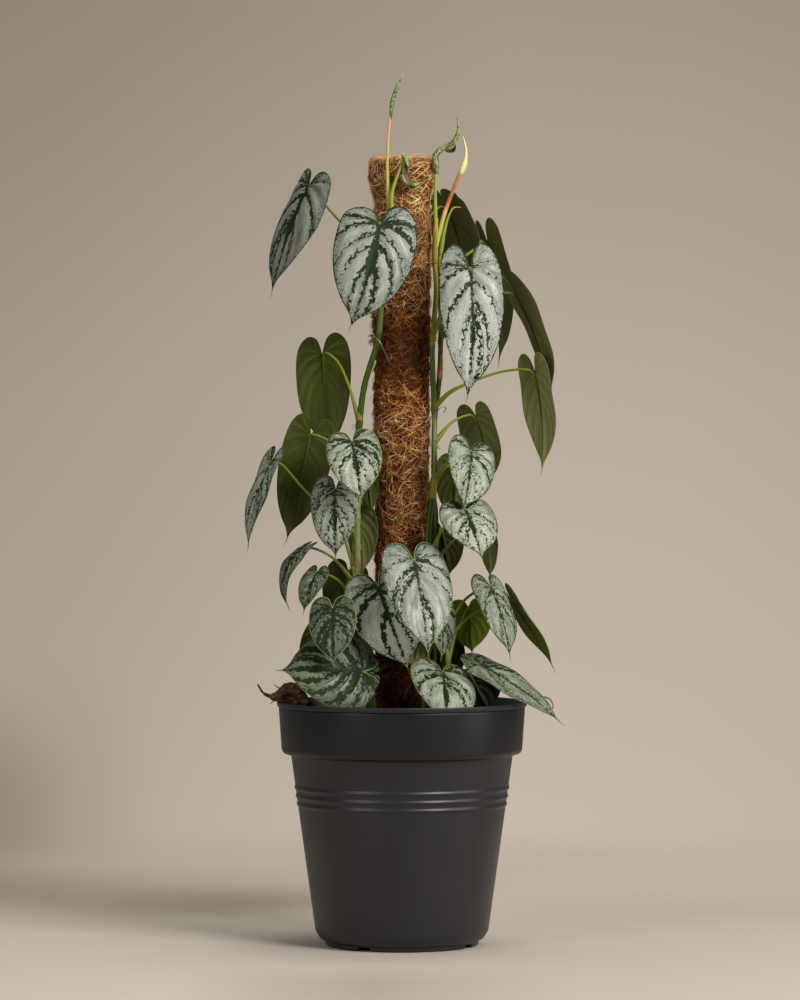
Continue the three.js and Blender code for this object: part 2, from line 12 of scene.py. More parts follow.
import bpy
import numpy as np
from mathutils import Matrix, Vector

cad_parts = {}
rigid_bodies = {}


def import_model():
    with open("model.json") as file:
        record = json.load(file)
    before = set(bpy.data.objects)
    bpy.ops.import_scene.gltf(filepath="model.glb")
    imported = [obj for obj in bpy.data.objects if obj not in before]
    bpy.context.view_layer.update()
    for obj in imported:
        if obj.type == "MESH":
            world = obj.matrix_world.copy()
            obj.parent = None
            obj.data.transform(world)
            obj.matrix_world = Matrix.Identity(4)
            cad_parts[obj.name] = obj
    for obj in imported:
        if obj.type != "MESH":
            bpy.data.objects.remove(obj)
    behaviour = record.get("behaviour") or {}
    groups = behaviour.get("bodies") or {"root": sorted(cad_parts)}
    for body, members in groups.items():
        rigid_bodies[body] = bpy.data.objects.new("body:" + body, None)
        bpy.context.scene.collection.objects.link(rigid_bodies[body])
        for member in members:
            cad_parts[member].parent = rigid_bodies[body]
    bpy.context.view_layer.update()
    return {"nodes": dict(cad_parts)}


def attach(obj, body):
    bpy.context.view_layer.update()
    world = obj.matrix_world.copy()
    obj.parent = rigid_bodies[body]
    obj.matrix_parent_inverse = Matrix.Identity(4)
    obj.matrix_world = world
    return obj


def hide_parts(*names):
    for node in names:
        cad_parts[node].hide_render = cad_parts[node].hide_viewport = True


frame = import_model()
MM = 0.001
TURN = 2 * math.pi

# %% [markdown]
# ## Camera
# A long lens from well back flattens the plant, as in a product picture. One pixel is about one
# millimetre at the pot's axis. The camera looks down by half a degree instead of using shift, so
# other views can take it over as it is.

# %% Camera
def facing(name, data, spot, aim):
    """A camera or a lamp at a spot, turned to its aim."""
    made = bpy.data.objects.new(name, data)
    made.location = spot
    made.rotation_euler = (Vector(aim) - Vector(spot)).to_track_quat("-Z", "Y").to_euler()
    bpy.context.scene.collection.objects.link(made)
    return made


EYE, AIM = (-0.002, -4.69, 0.516), (-0.002, 0.0, 0.469)
lens = bpy.data.cameras.new("studio_camera")
lens.sensor_fit = "VERTICAL"
lens.sensor_height, lens.lens, lens.clip_end = 36, 160, 60
bpy.context.scene.camera = facing("studio_camera", lens, EYE, AIM)
bpy.context.scene.view_settings.view_transform = "Standard"
print("camera is", round(math.dist(EYE, AIM), 2), "m away")

# %% [markdown]
# ## Curves
# Stems, stalks, fibres and wires all follow curves. Blender has curve objects of its own, but here
# the curve is a centripetal Catmull-Rom spline, the same as in the CAD source, so a stalk lies
# exactly where its solid is. It goes through all its points and doesn't overshoot between them.

# %% Curves
def unit(v):
    return v / np.maximum(np.linalg.norm(v, axis=-1, keepdims=True), 1e-9)


def spline(route, per_span=12):
    """Dense points of a smooth curve through a route."""
    route = np.asarray(route, float)
    dense = []
    for i in range(len(route) - 1):
        p1, p2 = route[i], route[i + 1]
        p0 = route[i - 1] if i else 2 * route[0] - route[1]
        p3 = route[i + 2] if i + 2 < len(route) else 2 * route[-1] - route[-2]
        d0, d1, d2 = (math.sqrt(np.linalg.norm(b - a)) for a, b in ((p0, p1), (p1, p2), (p2, p3)))
        t1 = ((p1 - p0) / d0 - (p2 - p0) / (d0 + d1) + (p2 - p1) / d1) * d1
        t2 = ((p2 - p1) / d1 - (p3 - p1) / (d1 + d2) + (p3 - p2) / d2) * d1
        w = np.linspace(0, 1, per_span, endpoint=False)[:, None]
        dense.append(p1 + t1 * w + (3 * (p2 - p1) - 2 * t1 - t2) * w**2
                     + (2 * (p1 - p2) + t1 + t2) * w**3)
    return np.concatenate([*dense, route[-1:]])


def evenly(points, count):
    """The same curve as count points at even distances, and their share of its length."""
    reach = np.concatenate([[0], np.cumsum(np.linalg.norm(np.diff(points, axis=0), axis=1))])
    share = np.linspace(0, 1, count)
    return np.stack([np.interp(share * reach[-1], reach, points[:, i]) for i in range(3)], 1), share


sample = spline([(0, 0, 0), (10, 0, 0), (10, 10, 0)])
print("a curve through 3 points has", len(sample), "points")

# %% [markdown]
# ## Rings and bars
# A mesh is a list of points and a list of faces that number them. A bar is a row of rings with
# faces from each ring to the next, and a point closes it at either end. The ring is carried along
# the curve without twisting, so that no surface looks wrung where its curve turns.

# %% Rings and bars
def carried_frames(path):
    """Directions along, up and across at each point of a path, carried without twist."""
    along = unit(np.gradient(path, axis=0))
    up = np.zeros_like(along)
    first = np.cross(along[0], [0.3, 0.9, 0.2])
    for i, direction in enumerate(along):
        first = first - direction * first.dot(direction)
        up[i] = first = first / np.linalg.norm(first)
    return along, up, np.cross(along, up)


def round_angles(sides):
    return np.arange(sides) / sides * TURN


def grid_faces(rows, columns, closed=True):
    """Quads of a grid of points whose rows are rings, or open strips."""
    i, j = np.meshgrid(np.arange(rows - 1), np.arange(columns if closed else columns - 1),
                       indexing="ij")
    a, b = i * columns + j, i * columns + (j + 1) % columns
    return np.stack([a, b, b + columns, a + columns], -1).reshape(-1, 4)


def triangles_of(quads):
    return np.concatenate([quads[:, [0, 1, 2]], quads[:, [0, 2, 3]]])


def capped_faces(rows, sides):
    """Triangles of rings of points that two more points close, one at each end."""
    j = np.arange(sides)
    k, start, last = (j + 1) % sides, np.full(sides, rows * sides), (rows - 1) * sides
    return np.concatenate([triangles_of(grid_faces(rows, sides)), np.stack([start, k, j], 1),
                           np.stack([start + 1, j + last, k + last], 1)])


def bar(path, radius, sides=12):
    """Points, triangles and length share of a closed round bar along a path. The radius is one
    number, one for each ring, or one for each point of each ring."""
    rows = len(path)
    _, up, across = carried_frames(path)
    angle = round_angles(sides)[:, None]
    ring = up[:, None] * np.cos(angle) + across[:, None] * np.sin(angle)
    if np.ndim(radius) < 2:
        radius = np.broadcast_to(radius, rows)[:, None]
    body = path[:, None] + ring * radius[..., None]
    share = np.repeat(np.linspace(0, 1, rows), sides)
    return (np.concatenate([body.reshape(-1, 3), path[:1], path[-1:]]), capped_faces(rows, sides),
            np.concatenate([share, [0, 1]]))


print("a sample bar of", len(sample), "rings has", len(bar(sample, 1)[1]), "triangles")

# %% [markdown]
# ## Gathering a mesh
# Every piece here is made from arrays of points and faces. A bench gathers them, with values for
# each point that the finishes read later, such as how far it is from a vein. It turns them into
# one mesh at the end, which is much quicker than adding faces one at a time.

# %% Bench
class Bench:
    """Gathers points, triangles and values for each point until they become one mesh."""

    def __init__(self):
        self.points, self.triangles, self.slots, self.values = [], [], [], []
        self.count = 0

    def add(self, points, faces, slot=0, **values):
        """Points in millimetres, and triangles or quads that number them from 0."""
        points, faces = np.asarray(points, float).reshape(-1, 3), np.asarray(faces, int)
        if faces.shape[1] == 4:
            faces = triangles_of(faces)
        self.points.append(points)
        self.triangles.append(faces + self.count)
        self.slots.append(np.full(len(faces), slot))
        self.values.append({key: np.broadcast_to(np.ravel(value), len(points))
                            for key, value in values.items()})
        self.count += len(points)

    def bar(self, path, radius, sides, slot=0, **values):
        """Adds a bar. A value may be a function of the share of the bar's length."""
        points, faces, share = bar(path, radius, sides)
        self.add(points, faces, slot, **{key: value(share) if callable(value) else value
                                         for key, value in values.items()})

    def piece(self, name, *finishes, flow=None):
        """One object with a float attribute for each value, and a UV map from two of them."""
        points, triangles = np.concatenate(self.points) * MM, np.concatenate(self.triangles)
        mesh = bpy.data.meshes.new(name)
        mesh.vertices.add(len(points))
        mesh.vertices.foreach_set("co", points.ravel())
        mesh.loops.add(triangles.size)
        mesh.loops.foreach_set("vertex_index", triangles.ravel())
        mesh.polygons.add(len(triangles))
        mesh.polygons.foreach_set("loop_start", np.arange(len(triangles)) * 3)
        mesh.polygons.foreach_set("material_index", np.concatenate(self.slots))
        mesh.polygons.foreach_set("use_smooth", np.ones(len(triangles), bool))
        mesh.update(calc_edges=True)
        merged = {}
        for key in sorted({key for part in self.values for key in part}):
            spread = [part.get(key, np.zeros(len(p))) for part, p in zip(self.values, self.points)]
            merged[key] = np.concatenate(spread).astype(np.float32)
            mesh.attributes.new(key, "FLOAT", "POINT").data.foreach_set("value", merged[key])
        if flow:
            pairs = np.stack([merged[flow[0]], merged[flow[1]]], axis=1)
            mesh.uv_layers.new(name="flow").data.foreach_set("uv", pairs[triangles.ravel()].ravel())
        for finish in finishes:
            mesh.materials.append(finish.material)
        made = bpy.data.objects.new(name, mesh)
        bpy.context.scene.collection.objects.link(made)
        return made


def stand_in(made, slot, *nodes):
    """The piece takes the place of those CAD nodes and moves with the plant. The slot is not used.
    """
    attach(made, "root")
    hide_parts(*nodes)
    print(made.name, "has", len(made.data.polygons), "triangles")


# %% [markdown]
# ## Writing a finish
# A finish is a material made from nodes, so it needs no pictures. Nodes can be added and linked
# one call at a time, but a long finish is hard to read that way. These helpers let it be written
# as plain arithmetic: each value knows how to add the math node that changes it.

# %% Values and nodes
class Value:
    """What a node works out at each spot. Arithmetic with it adds math nodes."""

    def __init__(self, nodes, socket):
        self.nodes, self.socket = nodes, socket

    def math(self, operation, *others):
        return self.nodes.node("Math", enumerate((self, *others)), operation=operation)

    def __add__(self, other):
        return self.math("ADD", other)

    def __sub__(self, other):
        return self.math("SUBTRACT", other)

    def __rsub__(self, other):
        return self * -1 + other

    def __mul__(self, other):
        return self.math("MULTIPLY", other)

    def __abs__(self):
        return self.math("ABSOLUTE")

    def or_more(self, other):
        return self.math("MAXIMUM", other)

    def step(self, low, high, kind="SMOOTHSTEP"):
        """0 below low, 1 above high, smooth between."""
        return self.nodes.node("MapRange", {"Value": self, "From Min": low, "From Max": high},
                               "Result", interpolation_type=kind)


class Nodes:
    """A node tree. Colours are red, green and blue from 0 to 255, as on a paint chart."""

    def __init__(self, tree):
        self.tree = tree

    def put(self, value, socket):
        if isinstance(value, Value):
            self.tree.links.new(value.socket, socket)
        else:
            socket.default_value = value

    def node(self, kind, inputs=(), out=0, **settings):
        """Adds a node with those inputs and settings, and gives one of its outputs."""
        made = self.tree.nodes.new("ShaderNode" + kind)
        for key, value in settings.items():
            setattr(made, key, value)
        for key, value in dict(inputs).items():
            self.put(value, made.inputs[key])
        return Value(self, made.outputs[out])

    def value(self, name):
        return self.node("Attribute", out="Fac", attribute_name=name)

    def place(self):
        return self.node("TexCoord", out="Object")

    def flow(self):
        return self.node("UVMap", out="UV", uv_map="flow")

    def part(self, at, axis):
        return self.node("SeparateXYZ", {0: at}, axis)

    def length(self, at):
        return self.node("VectorMath", {0: at}, "Value", operation="LENGTH")

    def scaled(self, at, stretch, shift=(0, 0, 0)):
        return self.node("Mapping", {"Vector": at, "Scale": stretch, "Location": shift}, "Vector")

    def noise(self, at, scale, detail=2, roughness=0.5):
        return self.node("TexNoise", {"Vector": at, "Scale": scale, "Detail": detail,
                                      "Roughness": roughness}, "Fac")

    def mix(self, share, first, second, **settings):
        return self.node("Mix", {0: share, 6: paint(first), 7: paint(second)}, 2,
                         data_type="RGBA", **settings)

    def ramp(self, share, *stops):
        made = self.node("ValToRGB", {"Fac": share}, "Color")
        points = made.socket.node.color_ramp.elements
        while len(points) < len(stops):
            points.new(0.5)
        for point, (at, colour) in zip(points, stops):
            point.position, point.color = at, paint(colour)
        return made


print("a finish is written with", len([name for name in vars(Nodes) if name[0] != "_"]), "helpers")

# %% [markdown]
# Every piece wears the same kind of shader, the Principled BSDF, which suits leaves, plastic and
# wire alike. A roughness that is the same all over goes straight onto the shader, because the
# export reads it there. Colours are written as on a paint chart and turned into the linear light
# that Blender works in.

# %% Finish and paint
class Finish(Nodes):
    """A material with one shader."""

    def __init__(self, name, roughness=0.5, specular=0.5):
        self.material = bpy.data.materials.new(name)
        self.material.use_nodes = True
        super().__init__(self.material.node_tree)
        self.shader = self.tree.nodes["Principled BSDF"]
        self.put(roughness, self.shader.inputs["Roughness"])
        self.put(specular, self.shader.inputs["Specular IOR Level"])

    def wear(self, colour, roughness=None, bump=None):
        """Puts a colour on the shader, and a roughness and a (height, distance, strength)."""
        self.put(colour, self.shader.inputs["Base Color"])
        if roughness:
            self.put(roughness, self.shader.inputs["Roughness"])
        if bump:
            bump = self.node("Bump", zip(("Height", "Distance", "Strength"), bump), "Normal")
            self.put(bump, self.shader.inputs["Normal"])


def paint(colour):
    """A chart colour in the linear light that Blender uses. Others stay as they are."""
    if isinstance(colour, Value) or len(colour) == 4:
        return colour
    return tuple(((c / 255 + 0.055) / 1.055) ** 2.4 if c > 10 else c / 3295 for c in colour) + (1,)


print("chart grey 128 is", round(paint((128, 128, 128))[0], 3), "in linear light")

# %% [markdown]
# ## Light
# The light is that of a studio. The main one is a large softbox, high on the right and in front,
# and its size makes the shadows soft. A weaker one on the left keeps them open, one above lights
# the top of the pole, and a narrow one at the right side picks out the edges of the leaves.

# %% Lamps
for name, spot, width, height, power, tint in (
    ("key_light", (1.9, -2.25, 1.95), 1.3, 1.3, 104, (1.0, 0.965, 0.915)),
    ("fill_light", (-2.3, -2.5, 1.3), 1.5, 1.5, 30, (1.0, 0.975, 0.94)),
    ("top_light", (0.3, 0.3, 2.4), 1.0, 1.0, 18, (1.0, 0.96, 0.91)),
    ("side_light", (2.3, -0.7, 0.8), 0.5, 1.3, 13, (1.0, 0.97, 0.93)),
):
    softbox = bpy.data.lights.new(name, "AREA")
    softbox.shape = "RECTANGLE"
    softbox.size, softbox.size_y, softbox.energy, softbox.color = width, height, power, tint
    facing(name, softbox, spot, (0, 0, 0.45))
print("lamps:", len(bpy.data.lights))

# %% [markdown]
# ## Background
# The background is a plain beige with its light painted in: lighter low down, painted shade towards
# the sides and a painted shadow in the low left corner. A wall would stand in the way of views from
# behind, so this is the world's own colour instead. Only the camera sees it. The plant gets a
# weaker, even glow from the world.

# %% Background
world = bpy.data.worlds.new("studio")
bpy.context.scene.world = world
world.use_nodes = True
sky = Nodes(world.node_tree)
sky.tree.nodes.clear()
looking = sky.node("TexCoord", out="Generated")
upward, aside = sky.part(looking, "Z"), sky.part(looking, "X")
backdrop = sky.ramp(upward.step(-0.1, 0.11, "LINEAR"), (0.1, (198, 185, 169)),
                    (0.54, (185, 172, 156)), (0.95, (163, 150, 135)))
# painted shade: the backdrop grows dimmer towards the sides
side_shade_levels = ((0.05, 0.76), (0.13, 0.79), (0.32, 0.88), (0.62, 1.0), (0.82, 0.985), (0.95, 0.95))
across = sky.ramp(aside.step(-0.1, 0.1, "LINEAR"),
                  *((at, (level, level, level, 1)) for at, level in side_shade_levels))
backdrop = sky.mix(1, backdrop, across, blend_type="MULTIPLY")
# painted shadow in the low left corner of the backdrop
corner = upward.step(-0.04, -0.08) * aside.step(-0.05, -0.105)
seen = sky.node("Background", {"Color": sky.mix(corner, backdrop, (143, 130, 115))})
soft = sky.node("Background", {"Color": (1.0, 0.93, 0.84, 1), "Strength": 0.2})
looked_at = sky.node("LightPath", out="Is Camera Ray")
sky.put(sky.node("MixShader", {"Fac": looked_at, 1: soft, 2: seen}),
        sky.tree.nodes.new("ShaderNodeOutputWorld").inputs["Surface"])
print("the background has", len(sky.tree.nodes), "nodes")

# %% [markdown]
# ## Floor
# The floor is one disc of matt paper that turns clear further out, where the background takes
# over. Its brightness is painted where the photograph's light falls unevenly: a dimmer right
# side, two soft pools of shadow behind the pot on the left, and a faint one in front of it.

# %% Floor
FLOOR_RADIUS, FLOOR_SIDES = 1500, 96
POOLS = (  # middle, half width and half depth in metres, colour
    (-0.5, 0.62, 0.75, 0.42, (178, 168, 156)),
    (-0.17, 0.46, 0.26, 0.26, (158, 146, 133)),
)
floor_finish = Finish("floor_paper", 0.9, 0.1)
at = floor_finish.place()
across, back = floor_finish.part(at, "X"), floor_finish.part(at, "Y")
paper = floor_finish.mix(floor_finish.noise(at, 3), (198, 190, 179), (202, 194, 184))
paper = floor_finish.mix(across.step(-0.2, 0.25) * back.step(0.75, 0.3), paper, (187, 179, 169))
for x, y, wide, deep, colour in POOLS:
    offset = floor_finish.scaled(at, (1 / wide, 1 / deep, 0), (-x / wide, -y / deep, 0))
    paper = floor_finish.mix(floor_finish.length(offset).step(1, 0), paper, colour)
front = (abs(across + 0.026) * -5 + 1).or_more(0) * back.step(-0.17, -0.36)
paper = floor_finish.mix(front * back.step(-0.95, -0.55), paper, (172, 165, 155))
floor_finish.wear(paper)
faded = floor_finish.node("MixShader", {
    "Fac": floor_finish.length(at).step(0.6, 1.5),
    1: Value(floor_finish, floor_finish.shader.outputs[0]),
    2: floor_finish.node("BsdfTransparent")})
floor_finish.put(faded, floor_finish.tree.nodes["Material Output"].inputs["Surface"])
angle = round_angles(FLOOR_SIDES)
edge = FLOOR_RADIUS * np.stack([np.cos(angle), np.sin(angle), 0 * angle], 1)
floor_bench = Bench()
floor_bench.add([*edge, (0, 0, 0)],
                [[FLOOR_SIDES, i, (i + 1) % FLOOR_SIDES] for i in range(FLOOR_SIDES)])
floor = floor_bench.piece("floor", floor_finish)
floor.location.z = -0.0005
print("floor reaches", FLOOR_RADIUS * MM, "m out")

# %% [markdown]
# ## Turning a profile
# A nursery pot is round, so it could be built from cylinders and cones, or drawn once as a profile
# and turned about its axis. The profile gives the wall, collar, rings and foot in one go. Its
# corners are rounded first, because the thin bright lines along a plastic pot are light caught by
# those small radii.

# %% Turning a profile
def softened(profile, radius, steps=4):
    """The profile with each inner corner replaced by a small arc."""
    profile = [np.array(p, float) for p in profile]
    out = [profile[0]]
    for before, corner, after in zip(profile, profile[1:], profile[2:]):
        a, b = before - corner, after - corner
        cut = min(radius, 0.4 * np.linalg.norm(a), 0.4 * np.linalg.norm(b))
        start, end = corner + unit(a) * cut, corner + unit(b) * cut
        for w in np.linspace(0, 1, steps):
            out.append((1 - w) ** 2 * start + 2 * w * (1 - w) * corner + w * w * end)
    return np.array([*out, profile[-1]])


def turned(profile, sides):
    """Points and triangles of a profile of (radius, height) turned about the Z axis. It starts
    and ends on the axis."""
    angle, inner = round_angles(sides), profile[1:-1]
    points = np.stack([inner[:, :1] * np.cos(angle), inner[:, :1] * np.sin(angle),
                       np.broadcast_to(inner[:, 1:], (len(inner), sides))], -1).reshape(-1, 3)
    poles = [[0, 0, profile[0][1]], [0, 0, profile[-1][1]]]
    return np.concatenate([points, poles]), capped_faces(len(inner), sides)


print("a square corner becomes", len(softened([(0, 0), (5, 0), (5, 5)], 1)) - 2, "points")

# %% [markdown]
# ## Pot profile
# The pot is injection-moulded and thin, with a broad collar, three shallow rings and a foot. The
# profile runs from the middle of the underside up the outside, over the lip and down the inside,
# in four stretches, because each has corners of its own sharpness. The rings are a smooth wave.

# %% Pot profile
FLOOR_TOP, BAND_BOTTOM, RIM_HEIGHT, RIM_RADIUS, WALL = 9, 200, 256, 131.5, 2.2
RINGS, RING_HALF, RING_RISE = (148.5, 157, 166), 3.4, 1.1
BODY_LOW, BODY_HIGH, BODY_FOOT = 91, 117, 12  # radii of the body, and where it starts


def body_radius(z):
    return BODY_LOW + (BODY_HIGH - BODY_LOW) * (z - BODY_FOOT) / (BAND_BOTTOM - BODY_FOOT)


ringed = []
for z in np.arange(RINGS[0] - 5, RINGS[-1] + 5.1, 0.6):
    rise = sum(0.5 * (1 + math.cos(math.pi * min(1, abs(z - ring) / RING_HALF))) for ring in RINGS)
    ringed.append((body_radius(z) + RING_RISE * rise, z))
outside = softened([
    (0, 5), (75, 5), (75, 0), (81, 0), (81, 5), (86, 6.5), (body_radius(15), 15), ringed[0],
], 2.4)[:-1]
collar = softened([
    ringed[-1], (body_radius(BAND_BOTTOM), BAND_BOTTOM), (125.2, 202.5), (127, 206), (129.9, 248.4),
], 1.3)
lip = softened([
    (129.9, 248.4), (129.9, 250.2), (129.2, 250.9), (RIM_RADIUS, 251.6), (132, 255.6),
    (131, RIM_HEIGHT + 0.6), (RIM_RADIUS - 3, RIM_HEIGHT), (127 - WALL, 206),
], 0.5)
inside = softened([
    (127 - WALL, 206), (body_radius(BAND_BOTTOM) - WALL, 198), (body_radius(15) - WALL, 15),
    (84, FLOOR_TOP), (0, FLOOR_TOP),
], 1.3)
profile = np.concatenate([outside, ringed, collar[1:], lip[1:], inside[1:]])
print("the pot's profile has", len(profile), "points")

# %% [markdown]
# ## Pot finish
# The plastic is matte black. The collar is painted a little darker as shade, the lip a little
# paler as a painted highlight, and the inner wall, which sees no light, almost black as painted
# shade. Height and distance from the axis tell these zones apart, so nothing has to be marked on the
# mesh. Faint scuffs run up and down the wall.

# %% Pot finish
pot_finish = Finish("pot_plastic", 0.42, 0.45)
mix, noise, at = pot_finish.mix, pot_finish.noise, pot_finish.place()
high = pot_finish.part(at, "Z")
cloud = noise(at, 14, 3, 0.6)
black = mix(cloud, (24, 24, 29), (30, 30, 34))
# painted shade: the collar is darker
black = mix(high.step(0.198, 0.206), black, (8, 8, 11))  # the collar
# painted highlight: the lip is paler
black = mix(high.step(0.2508, 0.2516), black, (26, 27, 29))  # the lip
# painted shade: the inner wall is almost black
past_wall = pot_finish.length(pot_finish.scaled(at, (1, 1, 0))) - (high * 0.082 - 0.0169)
black = mix(past_wall.step(0.1263, 0.1257) * high.step(0.206, 0.209), black, (7, 8, 8))
scuffs = noise(pot_finish.scaled(at, (60, 60, 9)), 5, 4, 0.7).step(0.6, 0.8)
pot_finish.wear(mix(scuffs * 0.14, black, (92, 88, 84)), roughness=cloud * 0.12 + 0.33,
                bump=(noise(at, 900), 0.00006, 0.7))
print("the pot's finish has", len(pot_finish.tree.nodes), "nodes")

# %% [markdown]
# ## Pot shell
# The profile is turned once round. The four gaps in the foot and the drain holes don't follow the
# turning, so they are cut with a boolean modifier, which finds the new edges by itself. It is
# applied at once, and the cutters are removed.

# %% Pot shell
def carve(made, cutters):
    """Cuts the cutters away from a piece for good, then removes them."""
    for cutter in cutters:
        change = made.modifiers.new("cut", "BOOLEAN")
        change.object = cutter
        change.solver = "EXACT"
    graph = bpy.context.evaluated_depsgraph_get()
    cut = bpy.data.meshes.new_from_object(made.evaluated_get(graph))
    made.modifiers.clear()
    made.data = cut
    for cutter in cutters:
        bpy.data.objects.remove(cutter)


POT_SIDES, DRAINS, DRAIN_RADIUS, DRAIN_CIRCLE = 180, 8, 5, 52
pot_bench, drains, notches = Bench(), Bench(), Bench()
pot_bench.add(*turned(profile, POT_SIDES))
pot = pot_bench.piece("pot_shell", pot_finish)
plug = turned(np.array([(0, 1), (DRAIN_RADIUS, 1), (DRAIN_RADIUS, 14), (0, 14)], float), 32)
for angle in round_angles(DRAINS):
    drains.add(plug[0] + [DRAIN_CIRCLE * math.cos(angle), DRAIN_CIRCLE * math.sin(angle), 0],
               plug[1])
for angle in np.radians((-120, -30, 60, 150)):  # the gaps in the foot ring
    outward = np.array([math.sin(angle), -math.cos(angle), 0])
    sideways = np.array([-outward[1], outward[0], 0])
    corners = [80 * outward + outward * 10 * x + sideways * 7.5 * y + [0, 0, 3.2 * z + 0.6]
               for z in (-1, 1) for y in (-1, 1) for x in (-1, 1)]
    notches.add(corners, [[0, 2, 3, 1], [4, 5, 7, 6], [0, 1, 5, 4], [2, 6, 7, 3], [0, 4, 6, 2],
                          [1, 3, 7, 5]])
carve(pot, [drains.piece("drain_cutter"), notches.piece("notch_cutter")])
pot.data.shade_smooth()
pot.data.materials.clear()
pot.data.materials.append(pot_finish.material)
stand_in(pot, "pot", "pot")

# %% [markdown]
# ## Random lumps
# Soil, coir and bark are lumpy without any order. A displacement texture could push their surface
# about, but a plain formula, a sum of sine waves in random directions, also tells other pieces how
# high the surface is at any point. The seed makes it the same in every run.

# %% Random lumps
def lumps(points, size, seed):
    """Smooth random heights between about -1 and 1, with bumps of about the given size."""
    rng = np.random.default_rng(seed)
    waves = unit(rng.normal(size=(9, 3))) * (TURN / size) * rng.uniform(0.6, 1.3, (9, 1))
    phases = rng.uniform(0, TURN, 9)
    return np.sin(points @ waves.T + phases).mean(-1) * 2.2


print("sample lumps:", np.round(lumps(np.arange(12).reshape(4, 3), 9, 1), 2))

# %% [markdown]
# ## Soil
# Dark potting mix fills the pot to below its rim. It is a turned body like the pot, but its top is
# pushed up and down by lumps of three sizes. Towards the wall they fade, where the mix is packed
# flat. It reaches down to the pot's floor, so nothing hollow shows through the drain holes.

# %% Soil bed
SOIL_TOP, SOIL_RADIUS = 233, 125.5
soil_finish = Finish("potting_soil", 0.95, 0.2)
at = soil_finish.place()
fine = soil_finish.noise(at, 420, 5, 0.7)
earth = soil_finish.mix(fine.step(0.35, 0.7), (28, 20, 15), (66, 47, 34))
soil_finish.wear(soil_finish.mix(soil_finish.noise(at, 60, 3) * 0.4, earth, (48, 36, 28)),
                 bump=(fine, 0.0012, 1))
rows, sides = 46, 150
ring, angle = np.linspace(0, 1, rows)[:, None] ** 0.8, round_angles(sides)
surface = np.stack([SOIL_RADIUS * ring * np.cos(angle), SOIL_RADIUS * ring * np.sin(angle),
                    np.broadcast_to(SOIL_TOP + 4 * (1 - ring), (rows, sides))], -1)
rough = 1.9 * lumps(surface, 34, 1) + 1.5 * lumps(surface, 11, 2) + 0.8 * lumps(surface, 4.5, 3)
surface[..., 2] += rough * np.minimum(1, 4 * (1 - ring)) - 1.0
round_the_pot = np.stack([np.cos(angle), np.sin(angle), 0 * angle], -1)
underside = [round_the_pot * radius + [0, 0, z] for radius, z in (
    (0, 9.5), (83.4, 9.5), (88.8, 15), (114, 198), (124.3, 206), (124.9, 222))]
layers = np.concatenate([underside, surface[::-1]])
soil_bench = Bench()
soil_bench.add(layers, grid_faces(len(layers), sides))
stand_in(soil_bench.piece("soil_bed", soil_finish), "soil", "soil")

# %% [markdown]
# ## Soil crumbs
# Several hundred crumbs of bark lie on the mix. Copies of one crumb would be lighter, but the eye
# soon finds what repeats. So each is a small ball squeezed and dented at random, because real
# crumbs have no two sides alike. None lies where the pole stands.

# %% Soil crumbs
CRUMBS, CLEAR_OF_POLE = 620, 30
CRUMB_SIZES, CRUMB_SHARES = (1.6, 2.4, 3.4, 5.0), (0.45, 0.3, 0.18, 0.07)


def pebble(rng, size):
    """A dented ball of random shape, as points about its middle and triangles."""
    rings = [np.stack([math.cos(e) * np.cos(t), math.cos(e) * np.sin(t), 0 * t + math.sin(e)], 1)
             for e in (0.8, 0.1, -0.7) for t in [round_angles(7) + e]]
    points = np.concatenate([*rings, [[0, 0, 1], [0, 0, -1]]])
    points = points * (1 + 0.22 * rng.normal(size=(len(points), 1))) * rng.uniform(0.5, 1.1, 3)
    turn = np.linalg.qr(rng.normal(size=(3, 3)))[0]
    if np.linalg.det(turn) < 0:
        turn[0] = -turn[0]
    return points * size @ turn, capped_faces(3, 7)[:, ::-1]


crumb_finish = Finish("bark_crumbs", 0.9, 0.25)
fine = crumb_finish.noise(crumb_finish.place(), 700, 4, 0.7)
bark = crumb_finish.ramp(crumb_finish.value("tone"), (0, (30, 21, 15)), (0.7, (82, 56, 38)),
                         (1, (150, 118, 84)))
crumb_finish.wear(crumb_finish.mix(fine, bark, (40, 28, 21)), bump=(fine, 0.0006, 1))
crumbs = Bench()
rng = np.random.default_rng(7)
for _ in range(CRUMBS):
    out, turn = 120 * rng.uniform() ** 0.5, rng.uniform(0, TURN)
    if out < CLEAR_OF_POLE:
        continue
    points, faces = pebble(rng, rng.choice(CRUMB_SIZES, p=CRUMB_SHARES))
    crumbs.add(points + [out * math.cos(turn), out * math.sin(turn), SOIL_TOP + 3 - out / 40],
               faces, tone=rng.uniform() ** 1.6)
stand_in(crumbs.piece("soil_crumbs", crumb_finish), "soil", "soil")

# %% [markdown]
# ## Vines
# Six stems climb the pole. Each is a smooth curve through a few points, and it thins a little on
# its way up. The leaf table below says where on a vine each leaf grows, so the curves come first.

